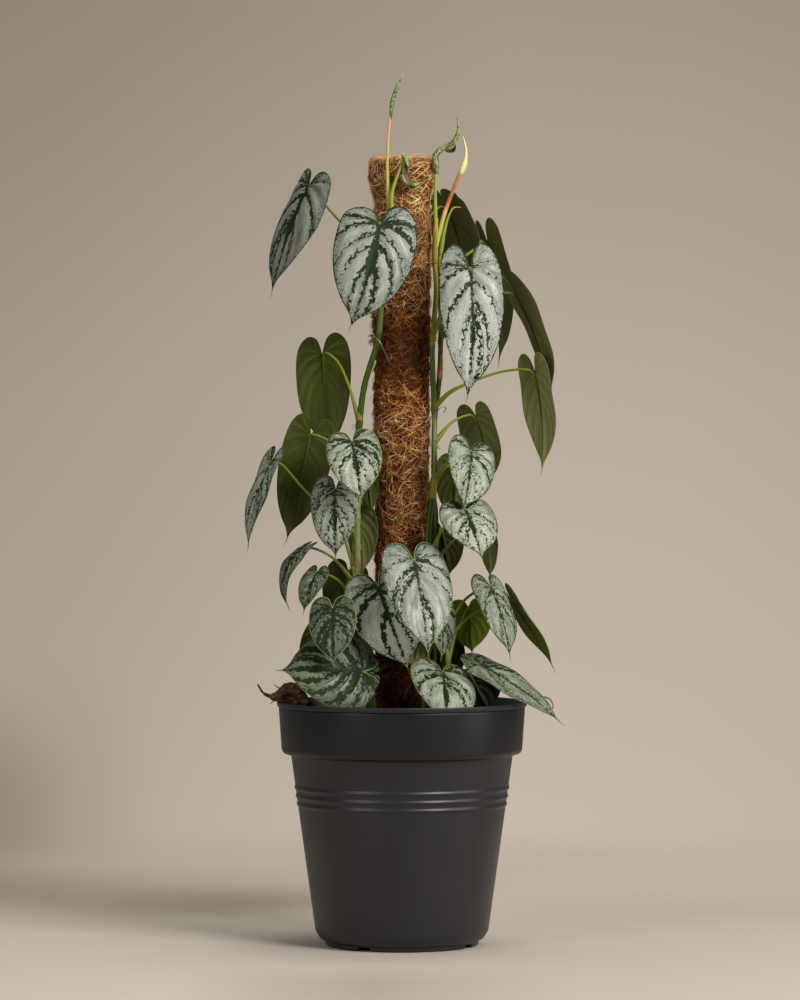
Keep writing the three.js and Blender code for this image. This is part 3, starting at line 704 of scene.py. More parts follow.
# %% Vine routes
VINES = {  # name: radius at the foot and at the top, and the route
    "left": (4.4, 2.6, [
        (-30, -40, 190), (-34, -44, 260), (-43, -46, 330), (-46, -44, 395), (-47, -42, 440),
        (-47, -38, 500), (-45, -33, 545), (-39, -31, 590), (-25, -33, 638), (-21, -36, 680),
        (-17, -38, 735), (-13, -38, 775)]),
    "right": (4.4, 2.4, [
        (22, -46, 190), (24, -44, 260), (26, -36, 330), (27, -30, 400), (28, -27, 440),
        (34, -20, 495), (34, -18, 560), (32, -22, 630), (36, -16, 690), (34, -19, 730),
        (36, -18, 765)]),
    "right_rear": (4, 2.3, [
        (34, 0, 190), (33, 1, 300), (33, 1, 400), (33, 1, 440), (34, 2, 500), (35, 2, 560),
        (39, 1, 592), (41, -1, 640), (40, -3, 720), (41, -5, 745)]),
    "back": (4.2, 2.4, [
        (-12, 38, 190), (-12, 34, 300), (-4, 34, 420), (4, 34, 540), (10, 34, 650), (14, 33, 745),
        (16, 33, 790)]),
    "left_low": (3.8, 2.2, [
        (-56, -18, 190), (-52, -16, 300), (-50, -12, 392), (-59, -10, 428), (-66, -8, 470)]),
    "base": (4, 2.2, [(58, -36, 190), (52, -36, 260), (47, -38, 310), (44, -34, 350)]),
}
vine_lines = {name: spline(route, 24) for name, (_, _, route) in VINES.items()}


def vine_at(name, z):
    """The point of a vine at one height."""
    line = vine_lines[name]
    return np.array([np.interp(z, line[:, 2], line[:, i]) for i in range(3)])


print("vines end at", {name: route[-1][2] for name, (_, _, route) in VINES.items()})

# %% [markdown]
# ## Leaf table
# One row for each leaf: the vine and the height it grows from, where its stalk joins the blade,
# where its tip hangs, its full width, and the way its upper face looks, as a turn from the front
# and a rise. Bend runs along the leaf, fold is the V at the midrib, curl rounds each half, sway
# curves the midrib to one side, and lobes shortens the lobe on either side of the notch. Via
# gives points that the stalk passes through.

# %% Leaf table
LEAVES = {}


def leaf(number, vine, node, at, tip, width, faces, bend=25, fold=14, curl=34, sway=0,
         lobes=(1, 1), via=None):
    LEAVES[number] = dict(vine=vine, node=node, at=at, tip=tip, width=width, faces=faces,
                          bend=bend, fold=fold, curl=curl, sway=sway, lobes=lobes, via=via)


leaf(1, "left", 690, (-97, -28, 800), (-136, -34, 688), 80, (-58, 5), bend=16, fold=10, curl=40,
     lobes=(0.75, 0.7), via=[(-60, -34, 755), (-80, -30, 779)])
leaf(2, "left", 705, (-23, -64, 758), (-53, -78, 650), 86, (4, 8), fold=10, sway=-5,
     lobes=(0.6, 1))
leaf(3, "right", 640, (71, -62, 711), (68, -66, 577), 69, (8, 5), fold=10, sway=-5)
leaf(4, "back", 740, (48, 52, 781), (72, 60, 682), 82, (124, 5))
leaf(5, "right_rear", 690, (91, 32, 742), (103, 30, 616), 60, (118, 5), fold=22,
     via=[(62, -2, 722), (80, 5, 736)])
leaf(6, "right_rear", 640, (119, -14, 687), (157, -18, 578), 54, (112, 10), fold=22)
leaf(7, "right", 566, (140, -18, 604), (147, -20, 501), 56, (126, 5), fold=10,
     via=[(50, -20, 582), (70, -20, 592), (105, -20, 604)])
leaf(8, "right", 530, (78, 4, 558), (93, 6, 486), 60, (132, 5), fold=10)
leaf(9, "right", 490, (72, -42, 521), (64, -70, 460), 58, (36, 24), fold=22)
leaf(10, "right", 408, (66, -58, 460), (83, -86, 410), 64, (24, 34), bend=14)
leaf(11, "right", 485, (58, 14, 506), (54, 16, 446), 46, (165, 5))
leaf(12, "right_rear", 400, (87, -22, 437), (92, -28, 388), 36, (125, 5))
leaf(13, "right_rear", 380, (43, 16, 438), (50, 14, 388), 42, (165, 5))
leaf(14, "right", 350, (12, -80, 408), (27, -120, 312), 74, (18, 24))
leaf(15, "left", 340, (-25, -60, 381), (6, -80, 295), 80, (-8, 24))
leaf(16, "left", 345, (-72, -84, 359), (-71, -99, 301), 50, (-8, 25))
leaf(17, "left", 262, (-40, -68, 291), (-126, -78, 293), 85, (-10, 24))
leaf(18, "left_low", 290, (-79, -36, 334), (-103, -40, 290), 40, (-170, 5))
leaf(19, "left_low", 380, (-103, -36, 419), (-119, -40, 358), 36, (-66, 5), bend=85)
leaf(20, "left_low", 360, (-89, -52, 394), (-102, -64, 354), 34, (-42, 25))
leaf(21, "left_low", 340, (-57, 8, 393), (-70, 6, 336), 48, (176, 5))
leaf(22, "left", 420, (-69, -50, 482), (-69, -60, 410), 54, (-18, 8))
leaf(23, "left", 480, (-52, -64, 531), (-42, -92, 470), 58, (0, 32))
leaf(24, "left", 550, (-84, -4, 623), (-73, 14, 520), 68, (-150, 5),
     via=[(-56, -26, 590), (-68, -18, 615)])
leaf(25, "left", 500, (-96, -14, 536), (-121, -18, 428), 55, (175, 5))
leaf(26, "left", 450, (-137, -28, 509), (-161, -34, 421), 40, (-60, 5), fold=16, curl=30,
     via=[(-58, -34, 455), (-94, -31, 473)])
leaf(27, "left", 450, (-36, -30, 497), (-32, -33, 457), 22, (176, 5))
leaf(28, "left_low", 400, (-46, -18, 458), (-41, -22, 392), 40, (158, 5))
leaf(29, "base", 335, (92, -46, 380), (112, -78, 308), 46, (38, 24), fold=6)
leaf(30, "base", 320, (115, -12, 365), (159, -18, 293), 52, (105, 15), bend=8,
     via=[(66, -38, 344), (90, -30, 360)])
leaf(31, "base", 300, (70, -12, 356), (74, -4, 308), 48, (180, 12))
leaf(32, "right", 300, (40, -58, 356), (41, -62, 306), 46, (50, 5))
leaf(33, "right", 290, (19, -54, 339), (12, -56, 291), 36, (178, 5))
leaf(34, "base", 262, (42, -66, 291), (46, -110, 236), 76, (34, 40))
leaf(35, "base", 275, (80, -52, 298), (165, -60, 238), 38, (20, 50))
leaf(36, "right_rear", 250, (72, 4, 286), (92, 2, 244), 60, (170, 5))
leaf(37, "back", 700, (2, 64, 742), (-4, 74, 650), 54, (180, 5))
leaf(38, "back", 560, (-4, 60, 602), (2, 70, 512), 54, (176, 8))
leaf(39, "back", 420, (8, 64, 474), (14, 76, 388), 60, (170, 8))
leaf(40, "back", 330, (-32, 58, 374), (-44, 78, 292), 68, (-165, 14))
leaf(41, "back", 280, (34, 60, 330), (48, 92, 262), 62, (160, 24))
print(len(LEAVES), "leaves")

# %% [markdown]
# No two leaves of the photograph look alike. These short tables say, by leaf number, how each
# one differs from the rest. The first goes onto the points of the blade as values, which the
# leaf finish turns into colour. The others change the pattern or the shape a little.

# %% How single leaves differ
LOOKS = {  # value: what it is on most leaves, and then by leaf number
    # deep is partly a leaf's own greener pattern and partly painted shade, darkening leaves that lie
    # in shade, such as 16, 17 and 32
    "deep": (0, {1: 0.5, 2: 0.14, 16: 1.2, 17: 1.1, 19: 0.5, 20: 0.5, 22: 0.2, 29: 0.3, 30: 1.0,
                 32: 0.5, 34: 0.1, 35: 0.6}),  # how much of the silver is lost to green
    "lit": (0, {4: 0.5, 5: 0.3, 6: 0.65, 7: 1.0, 8: 0.6, 11: 0.3, 12: 0.6, 28: 0.4, 30: 0.4,
                31: 0.1, 33: 0.8}),  # light let through
    "glow": (0, {31: 1.0, 30: 0.5}),  # undersides with the light right behind them
    "shade": (0, {36: 1.0, 13: 0.35}),  # leaves deep inside the plant
    "cool": (0, {1: 0.6, 2: 0.6, 3: 0.6, 14: 0.6}),  # leaves in colder light
    # painted sheen: extra silver brightness where a leaf catches the light
    "bright": (0, {3: 0.9, 9: 0.4, 10: 0.7, 14: 0.15, 15: 1.0, 22: 0.6, 23: 0.7, 26: 0.4,
                   34: 0.2}),  # extra silver
    "pale_edge": (0.3, {2: 0.0, 3: 0.0, 14: 1.0, 15: 0.8, 16: 0.9, 17: 1.0, 18: 1.0, 22: 0.6,
                        23: 0.9, 32: 1.0, 34: 0.8, 35: 0.6}),  # the light line on the margin
}
BOLD = {2: 0.3, 3: -0.6, 14: -0.6, 23: 0.3, 29: -0.4, 34: -0.3, 35: -0.6}  # wider bands, in mm
FLARES = {1: (0.4, 3.5), 2: (0.36, 4.6), 3: (0.52, 2.2), 14: (0.4, 0.0), 15: (0.3, 1.0),
          23: (0.45, 3.0)}  # where the middle band widens, and by how many mm
CLOSED = (4, 17, 35)  # leaves whose lobes meet behind the stalk
TAILS = {1: (0, 0, -1), 3: (-1, 0.2, -0.5), 5: (-0.5, 0, -0.8), 7: (-0.9, 0, -0.3),
         17: (-1, 0, 0.25), 22: (0.3, 0, -1), 35: (1, 0, -0.1)}  # where the tip's thread points
print({key: len(table) for key, (_, table) in LOOKS.items()}, "leaves set apart")

# %% [markdown]
# ## Flat blade
# A blade starts flat. Half its outline is a smooth curve from the notch, round the lobe and down
# to the drip tip. A square grid cut to that outline would leave steps on the margin. So the grid
# of the mesh follows lines like veins, which run from the midrib to the outline.

# %% Flat blade
OUTLINE = np.array([
    (0, 0), (0.18, -0.155), (0.52, -0.195), (0.86, -0.09), (1, 0.14), (0.96, 0.4), (0.72, 0.65),
    (0.28, 0.87), (0, 1)], float)
FAN = 0.54  # share of the outline whose veins all start at the stalk
LAST_ROOT = 0.52  # share of the midrib that side veins start from


def outline(k):
    """Points of half the outline, sideways in half widths and lengthways in lengths."""
    spans = len(OUTLINE) - 1
    t = np.clip(k, 0, 1) * spans
    i = np.minimum(t.astype(int), spans - 1)
    w = (t - i)[..., None]
    p1, p2 = OUTLINE[i], OUTLINE[i + 1]
    p0, p3 = OUTLINE[np.maximum(i - 1, 0)], OUTLINE[np.minimum(i + 2, spans)]
    v0, v1 = (p2 - p0) / 2, (p3 - p1) / 2
    return (2 * p1 - 2 * p2 + v0 + v1) * w**3 + (3 * p2 - 3 * p1 - 2 * v0 - v1) * w**2 + v0 * w + p1


WIDEST = outline(np.linspace(0.45, 1, 200))


def flat_point(k, t):
    """A point of the flat blade: k runs round the outline, t from the midrib to the margin."""
    margin = outline(k)
    root = LAST_ROOT * np.maximum(0, (k - FAN) / (1 - FAN)) ** 1.45
    elbow_a = root + (0.3 + 0.08 * k) * (margin[..., 1] - root) - 0.1 * margin[..., 0] * (1 - k)
    beside = np.interp(elbow_a, WIDEST[:, 1], WIDEST[:, 0])
    lower = np.clip((k - 0.4) / 0.35, 0, 1)
    elbow_s = ((1 - lower) * (0.56 + 0.26 * k) * margin[..., 0]
               + lower * (0.58 * beside + 0.24 * margin[..., 0]))
    elbow_s = elbow_s * (1 - np.clip((k - 0.84) / 0.16, 0, 1) ** 1.3)
    s = 2 * t * (1 - t) * elbow_s + t * t * margin[..., 0]
    a = (1 - t) ** 2 * root + 2 * t * (1 - t) * elbow_a + t * t * margin[..., 1]
    narrow = np.clip((a - 0.8) / 0.16, 0, 1)
    return s * (1 - 0.5 * narrow * narrow * (3 - 2 * narrow)), a


print("a blade is widest", round(float(WIDEST[WIDEST[:, 0].argmax(), 1]), 2), "of the way down")

# %% [markdown]
# ## Bending a blade
# A real blade is folded at its midrib, each half curls, and the whole of it hangs in a bow with a
# slight ripple. A simulation could drape it too, but a formula keeps every leaf exactly where its
# solid is, and gives the stalk below and the grids of both faces the same bend.

# %% Bending a blade
def leaf_frame(row):
    """Where a leaf starts, its directions, its bend and its length along the blade."""
    start, tip = np.array(row["at"], float), np.array(row["tip"], float)
    chord = np.linalg.norm(tip - start)
    along = (tip - start) / chord
    azimuth, elevation = np.radians(row["faces"])
    faces = np.array([math.sin(azimuth) * math.cos(elevation),
                      -math.cos(azimuth) * math.cos(elevation), math.sin(elevation)])
    normal = unit(faces - along * faces.dot(along))
    bend = max(0.02, math.radians(row["bend"]))
    return dict(start=start, along=along, normal=normal, side=np.cross(along, normal), bend=bend,
                length=chord * (bend / 2) / math.sin(bend / 2))


def bent(row, shape, s, a, h):
    """Bends flat points into space: s sideways and a lengthways in mm, h off the blade."""
    half, length, bend = row["width"] / 2, shape["length"], shape["bend"]
    fold, curl, sway = (math.radians(row[key]) for key in ("fold", "curl", "sway"))
    reach, sign = np.abs(s), np.sign(s)
    a = np.where(a < 0, a * np.where(s > 0, row["lobes"][0], row["lobes"][1]), a)
    part = np.clip(a / length, 0, 1)
    yaw = sway * (1 - 2 * part)
    rate = curl / half
    slope = fold - rate * reach
    across = (math.sin(fold) - np.sin(slope)) / rate
    ripple = 1.5 * (reach / half) ** 2 * np.sin(2.2 * a / half + row["at"][0] + sign)
    up = (np.cos(slope) - math.cos(fold)) / rate + ripple
    turn = (bend * (a / length - 0.5))[..., None]
    radius = length / bend
    lift = radius * (np.cos(turn) - math.cos(bend / 2))
    travel = radius * (np.sin(turn) + math.sin(bend / 2))
    along, normal, side = shape["along"], shape["normal"], shape["side"]
    out = normal * np.cos(turn) + along * np.sin(turn)
    onward = along * np.cos(turn) - normal * np.sin(turn)
    beside = side * np.cos(yaw)[..., None] - onward * np.sin(yaw)[..., None]
    return (shape["start"] + along * travel + normal * lift
            + side * (sway * a * (1 - part))[..., None]
            + out * (up + h * np.cos(slope))[..., None]
            + beside * (sign * (across - h * np.sin(slope)))[..., None])


print("the largest blade is", round(max(leaf_frame(row)["length"] for row in LEAVES.values())), "mm")

# %% [markdown]
# ## Veins
# Dark bands follow the midrib and the side veins, and the blade is puffed up a little between
# them. Both need to know how far each point is from the nearest vein, so that distance is
# measured on the flat blade and kept as a value of the point.

# %% Veins
VEIN_STARTS = np.array([0.12, 0.26, 0.4, 0.54, 0.67, 0.79, 0.89])


def vein_distance(s, a, veins, half, length):
    """How far flat points are from the nearest vein in mm, how far along it, and which it is."""
    t = np.linspace(0, 1, 22)
    vs, va = flat_point(veins[:, None] + 0 * t, t + 0 * veins[:, None])
    line = np.stack([vs * half, va * length], -1)
    start, run = line[:, :-1].reshape(-1, 2), np.diff(line, axis=1).reshape(-1, 2)
    points = np.stack([s, a], -1).reshape(-1, 1, 2)
    along = ((points - start) * run).sum(-1) / np.maximum((run * run).sum(-1), 1e-9)
    gap = np.linalg.norm(points - start - run * np.clip(along, 0, 1)[..., None], axis=-1)
    nearest = gap.argmin(-1)
    share, which = np.tile(t[:-1], len(veins))[nearest], nearest // (len(t) - 1)
    return gap.min(-1).reshape(s.shape), share.reshape(s.shape), which.reshape(s.shape)


print("side veins on each half:", len(VEIN_STARTS))

# %% [markdown]
# ## Leaf pattern
# The upper face is a satin silver, broken by jagged dark green bands along the veins, by specks
# and by a thin dark margin. A painted picture could show them, but each leaf would need its own.
# Here they come from the distances above. The bands wander off the vein in places, the middle one
# widens part of the way down, and noise frays their edges.

# %% Where a leaf is dark
leaf_finish = Finish("leaf_blade", 0.34, 0.2)
value, noise, mix = leaf_finish.value, leaf_finish.noise, leaf_finish.mix
flat = leaf_finish.flow()
vein_field = leaf_finish.node("CombineXYZ", {"X": value("spoke"), "Y": value("spread"),
                                             "Z": value("tone")})


def drawn_out(across, along, detail=2, roughness=0.5):
    """Noise in flecks that lie along the side veins."""
    return noise(leaf_finish.scaled(vein_field, (across, along, 40)), 1, detail, roughness)


def greyer(warm, cold):
    """The warm colour on most leaves, the colder one on those whose silver is nearly grey."""
    return mix(value("cool"), warm, cold)


deep, gap, edge, lobe = (value(name) for name in ("deep", "vein_gap", "edge", "lobe"))
coarse, ragged, streak = noise(flat, 17), noise(flat, 75, 3, 0.65), drawn_out(105, 4, 3, 0.55)
fray = (noise(flat, 31) + ragged + drawn_out(42, 15)) * 5 - 7.5
wander = coarse * 13 - 6.5
off = abs(value("vein_side") + wander).or_more(gap - 2.6)
bands = (wander * 0.4 + value("rib_band")).or_more(value("vein_width") - off) + deep + fray
margin = lobe * 1.4 + 1.3 - edge + fray * 0.7
near_edge = edge.step(13, 1.5).or_more(lobe)
net = abs(noise(flat, 46, 3, 0.6) - 0.5).step(0.028, 0.008) * near_edge
specks = (near_edge * 0.085 + noise(flat, 70, 2, 0.6)).step(0.65, 0.69)
dark = bands.or_more(margin).step(-0.15, 0.45).or_more(specks.or_more(net))
print("the dark pattern takes", len(leaf_finish.tree.nodes), "nodes")

# %% [markdown]
# ## Silver and underside
# Streaks and fine hatching in the silver run along the side veins, and some leaves show a pale
# line on the very margin. The underside is a plain olive green with the veins just showing. Light
# that shines through a leaf could be left to a translucent shader, but the exported model would
# lose it, so the underside is simply painted paler there.

# %% Silver and underside
silver = mix(streak.step(0.25, 0.78), greyer((126, 136, 117), (126, 131, 124)),
             greyer((175, 182, 165), (174, 176, 173)))
silver = mix(drawn_out(17, 3).step(0.62, 0.32), silver, (106, 115, 98))
# painted highlight: the silver is paler on the puffed blade between the veins
silver = mix(gap.step(1.5, 6.5) * 0.25, silver, greyer((190, 196, 181), (188, 189, 186)))
# painted sheen lightens the silver
silver = mix(value("bright") * 0.5, silver, greyer((206, 211, 199), (204, 204, 201)))
# partly painted shade: deep turns the silver a dull grey green
silver = mix(deep * 0.62, silver, (74, 84, 66))
hatching = drawn_out(150, 11, 3, 0.6).step(0.56, 0.66)
silver = mix(hatching * 0.5, silver, (70, 84, 62))
pattern = mix(dark, silver, mix(ragged, (6, 18, 3), (28, 52, 12)))
pattern = mix(edge.step(0.95, 0.5) * value("pale_edge"), pattern, (138, 156, 84))
pattern = mix(value("stem_end").step(0.5, 1), pattern, (104, 130, 58))

olive = mix(streak.step(0.2, 0.8), (47, 55, 8), (72, 80, 22))
olive = mix(coarse.step(0.35, 0.7), olive, (62, 68, 14))
olive = mix(value("lit") * 0.8, olive, (140, 144, 88))
olive = mix(value("glow") * 0.8, olive, (112, 132, 14))
olive = mix(gap.step(1.1, 0.2) * 0.4, olive, (32, 38, 10))
olive = mix(value("shade"), olive, (5, 8, 2))
upper = value("upper").step(0.4, 0.6)
leaf_finish.wear(mix(upper, olive, pattern), roughness=upper * (1 - dark) * -0.27 + 0.55,
                 bump=(ragged * 0.6 + streak, 0.00025, 0.6))
print("the leaf's finish has", len(leaf_finish.tree.nodes), "nodes")

# %% [markdown]
# ## Stalk and tip finish
# A leaf's stalk is a smooth green and turns darker where it runs on under the blade as the
# midrib. The tip ends in a thread that dries from green to brown. Both colours change along the
# length, and the points carry that as values, so no picture has to be fitted to such thin bars.

# %% Stalk and tip finish
stalk_finish = Finish("leaf_stalk", 0.42, 0.2)
value, mix = stalk_finish.value, stalk_finish.mix
soft = stalk_finish.noise(stalk_finish.place(), 90, 3)
skin = stalk_finish.ramp(value("age"), (0, (84, 96, 18)), (0.2, (108, 126, 26)),
                         (0.7, (98, 124, 26)))
stalk_finish.wear(mix(value("rib"), mix(soft * 0.5, skin, (128, 132, 42)), (66, 74, 20)),
                  bump=(soft, 0.0002, 1))
tip_finish = Finish("dry_tip", 0.7)
tip_finish.wear(tip_finish.mix(tip_finish.value("age"), (84, 92, 50), (150, 108, 66)))
print("finishes so far:", [made.name for made in bpy.data.materials])

# %% [markdown]
# ## Welding
# Where two grids meet, each has points of its own in the same place, and the light would show a
# seam there. Blender can merge points by distance. Done on the arrays instead, it takes the values
# of the points along before the mesh is made, and drops the faces that close up.

# %% Welding
def weld(points, faces, values):
    """Joins points that lie on each other and drops the faces that closes up."""
    _, first, back = np.unique(np.round(points / 1e-4), axis=0, return_index=True,
                               return_inverse=True)
    faces = back.reshape(-1)[faces]
    a, b, c = faces.T
    faces = faces[(a != b) & (b != c) & (c != a)]
    return points[first], faces, {key: v[first] for key, v in values.items()}


print("two points in one place become", len(weld(np.zeros((2, 3)), np.zeros((0, 3), int), {})[0]))

# %% [markdown]
# ## Blades
# A blade is four grids of points, the upper and lower face of each half, and a narrow strip that
# closes the margin. A single sheet with a thickness modifier would be shorter to write, but then
# the two faces couldn't carry values of their own. The halves meet at the midrib and are welded
# there, so the blade is closed and its shading smooth.

# %% Blades
SPOKES, COLUMNS = 50, 15  # rows and columns of the grid on each half of a blade
BLADE_HALF = 0.3  # half the blade's thickness


def grow_blade(bench, number, row, shape, rng):
    """Adds the blade of one leaf to its bench."""
    half, length = row["width"] / 2, shape["length"]
    k, t = np.meshgrid(np.linspace(0, 1, SPOKES + 1), np.linspace(0, 1, COLUMNS + 1), indexing="ij")
    flat_s, flat_a = flat_point(k, t)
    if number in CLOSED:
        flat_s = flat_s ** (1 + 1.6 * np.clip(-flat_a / 0.06, 0, 1))
    s, a = flat_s * half, flat_a * length
    rim = np.stack(flat_point(np.linspace(0, 1, 160), np.ones(160)), -1) * [half, length]
    edge = np.sqrt(((np.stack([s, a], -1)[:, :, None] - rim) ** 2).sum(-1)).min(-1)
    scale = min(1.0, (half / 40) ** 0.7)
    inland = np.clip(edge / 6, 0, 1)
    size, grid = k.size, triangles_of(grid_faces(SPOKES + 1, COLUMNS + 1, closed=False))
    ends = np.arange(SPOKES + 1) * (COLUMNS + 1) + COLUMNS
    points, faces, kept = [], [], []
    shift = rng.uniform(0, 9)
    lean = rng.uniform(-0.3, 0.3, 2)[0]
    flare = FLARES.get(number, (rng.uniform(0.3, 0.6), rng.uniform(0, 3.5)))
    bold = BOLD.get(number, 0)
    rib_width = (np.interp(a / length, [-0.2, 0, 0.2, 0.6, 0.85, 1], [0.6, 2.6, 2.2, 1.6, 1.1, 0.6])
                 + flare[1] * np.exp(-((a / length - flare[0]) / 0.14) ** 2))
    looks = {key: table.get(number, usual) for key, (usual, table) in LOOKS.items()}
    # the painted sheen grows from the stalk towards the tip
    looks["bright"] = looks["bright"] * np.clip(0.12 + 1.3 * a / length, 0.1, 1)
    for sign in (1, -1):
        veins = VEIN_STARTS + rng.normal(0, 0.014, len(VEIN_STARTS)) + 0.03 * sign * lean
        veins = np.round(veins * SPOKES) / SPOKES  # so that each vein is a line of the mesh
        gap, share, which = vein_distance(s, a, veins, half, length)
        bolder = rng.choice([-2.6, -0.8, 0.0, 0.9], len(veins), p=(0.22, 0.28, 0.28, 0.22)) + bold
        puff = (1 - np.exp(-(np.minimum(gap, s) / (3.6 * scale)) ** 2)) * inland
        height = 1.5 * scale * (puff - 0.5 * inland)
        for top in (1, -1):
            base = len(points) * size
            points.append(bent(row, shape, s * sign, a, height + top * BLADE_HALF * (1 - 0.35 * t))
                          .reshape(-1, 3))
            faces.append((grid[:, ::-1] if sign * top > 0 else grid) + base)
            kept.append(dict(
                looks, upper=float(top > 0), rib_band=(rib_width + 0.5 * bold) * scale - s,
                vein_width=(2.2 + bolder[which] - 1.2 * share) * scale,
                vein_side=np.where(k > veins[which], gap, -gap),
                vein_gap=np.minimum(gap, s + 0.2), edge=edge,
                lobe=0.8 * np.clip((0.42 - k) / 0.2, 0, 1), spoke=k + sign * 3 + shift, spread=t,
                tone=shift, u=s * sign / 100 + shift, v=a / 100,
                stem_end=np.exp(-(s**2 + a**2) / 9)))
        low, high = base + ends, base - size + ends  # the margin below and above
        strip = triangles_of(np.stack([high[:-1], high[1:], low[1:], low[:-1]], 1))
        faces.append(strip[:, ::-1] if sign < 0 else strip)
    merged = {key: np.concatenate([np.broadcast_to(np.ravel(part[key]), size) for part in kept])
              for key in kept[0]}
    points, faces, merged = weld(np.concatenate(points), np.concatenate(faces), merged)
    bench.add(points, faces, **merged)


print("each blade has about", 8 * SPOKES * COLUMNS, "triangles")

# %% [markdown]
# ## Stalks and tips
# The stalk springs from its stem, thins on the way, and goes on under the blade as the raised
# midrib. So it is one long bar whose last stretch follows the bent blade. The drip tip of the real
# leaf ends in a fine dry thread, another bar, which leans its own way on each leaf.

# %% Stalks and tips
MIDRIB = ((0.02, 2.5), (0.12, 1.95), (0.3, 1.6), (0.55, 1.35), (0.8, 1.1))  # share, depth below


def grow_stalk(bench, number, row, shape, rng):
    """Adds the leaf stalk, which runs on under the blade as its midrib, and the dry tip."""
    def on_blade(share, drop=0.0):
        return bent(row, shape, np.array(0.0), np.array(share * shape["length"]), np.array(-drop))

    foot = vine_at(row["vine"], row["node"])
    near = shape["start"] - 7 * shape["normal"] - 2 * shape["along"]
    via = row["via"] or [(foot + near) / 2 + [0, 0, 0.14 * np.linalg.norm(near - foot)]]
    rib = [on_blade(share, drop) for share, drop in MIDRIB]
    path, _ = evenly(spline([foot, *via, near, *rib]), 44)
    run = np.concatenate([[0], np.cumsum(np.linalg.norm(np.diff(path, axis=0), axis=1))])
    to_blade = run[np.linalg.norm(path - rib[0], axis=1).argmin()]
    radius = np.interp(run, [0, 8, 0.4 * to_blade, to_blade - 8, to_blade, run[-1]],
                       [3.2, 2.6, 1.5, 1.25, 1.0, 0.25])
    joint = to_blade / run[-1]
    bench.bar(path, radius, 10, slot=1, age=lambda share: share,
              rib=lambda share: np.interp(share, [0, joint - 0.02, joint + 0.05, 1], [0, 0, 0.8, 1]))
    tip = on_blade(0.975)
    onward = unit(tip - on_blade(0.9))
    sway = rng.normal(0, 0.22, 3)
    reach = shape["length"] * 0.06 + 3
    line = spline([tip, tip + onward * reach * 0.5, tip + onward * reach * 0.75
                   + unit(onward + np.array(TAILS.get(number, sway))) * reach * 0.35], 8)
    bench.bar(line, np.linspace(0.6, 0.17, len(line)), 6, slot=2, age=lambda share: share)


print("the midrib is followed at", len(MIDRIB), "points")

# %% [markdown]
# ## Growing the leaves
# Each leaf is one piece of blade, stalk and tip, because on the plant they never part. Every leaf
# has its own seed, so no two patterns are alike and each comes out the same in every run. One
# leaf also carries a torn strip of its margin that has dried and curled up.

# %% Growing the leaves
torn = spline([(141, -50, 259), (148, -50, 263.5), (155, -50, 261), (158, -50, 254),
               (156, -50, 248.5)], 8)  # the strip on leaf 35
for number, row in LEAVES.items():
    rng, shape, bench = np.random.default_rng(99 + number), leaf_frame(row), Bench()
    grow_blade(bench, number, row, shape, rng)
    grow_stalk(bench, number, row, shape, rng)
    if number == 35:
        bench.bar(torn, np.interp(np.linspace(0, 1, len(torn)), [0, 0.3, 1], [0.5, 1.1, 0.4]), 8,
                  slot=2, age=lambda share: 0.2 + 0.6 * share)
    name = f"leaf_{number:02d}"
    stand_in(bench.piece(name + "_grown", leaf_finish, stalk_finish, tip_finish, flow=("u", "v")),
             "leaf", name)

# %% [markdown]
# ## Stem finish
# The lower part of a stem is an old dark green, and each length above a node is a bit younger, up
# to a yellow green at the top. The finish mixes those by a value called young. It turns straw
# brown where a value called dry says that a sheath or a scar is. One finish for all stems keeps
# them the same plant.

# %% Stem finish
stem_finish = Finish("stem_skin", 0.42, 0.2)
young, dry = stem_finish.value("young"), stem_finish.value("dry")
mottle = stem_finish.noise(stem_finish.scaled(stem_finish.place(), (1, 1, 0.25)), 220, 3, 0.6)
green = stem_finish.ramp(young, (0, (42, 64, 2)), (0.2, (62, 84, 3)), (0.42, (140, 150, 98)),
                         (0.6, (122, 126, 18)), (0.8, (158, 156, 46)), (1, (198, 160, 58)))
green = stem_finish.mix(mottle * 0.35, green, (52, 58, 14))
straw = stem_finish.ramp(mottle, (0.3, (92, 54, 26)), (0.55, (142, 92, 46)),
                         (0.75, (186, 140, 84)))
stem_finish.wear(stem_finish.mix(dry, green, straw), roughness=dry * 0.35 + 0.27,
                 bump=(mottle, 0.0004, 1))
print("the stem's finish has", len(stem_finish.tree.nodes), "nodes")

# %% [markdown]
# ## Sheaths and age
# Dry sheaths, the wrappers of former leaves, still cling to some of the nodes. These tables say
# where, and how the age of each stem changes with height. No rule gives that, so it is written
# down stem by stem. The stem behind the pole can't be seen and is made up to match the others.

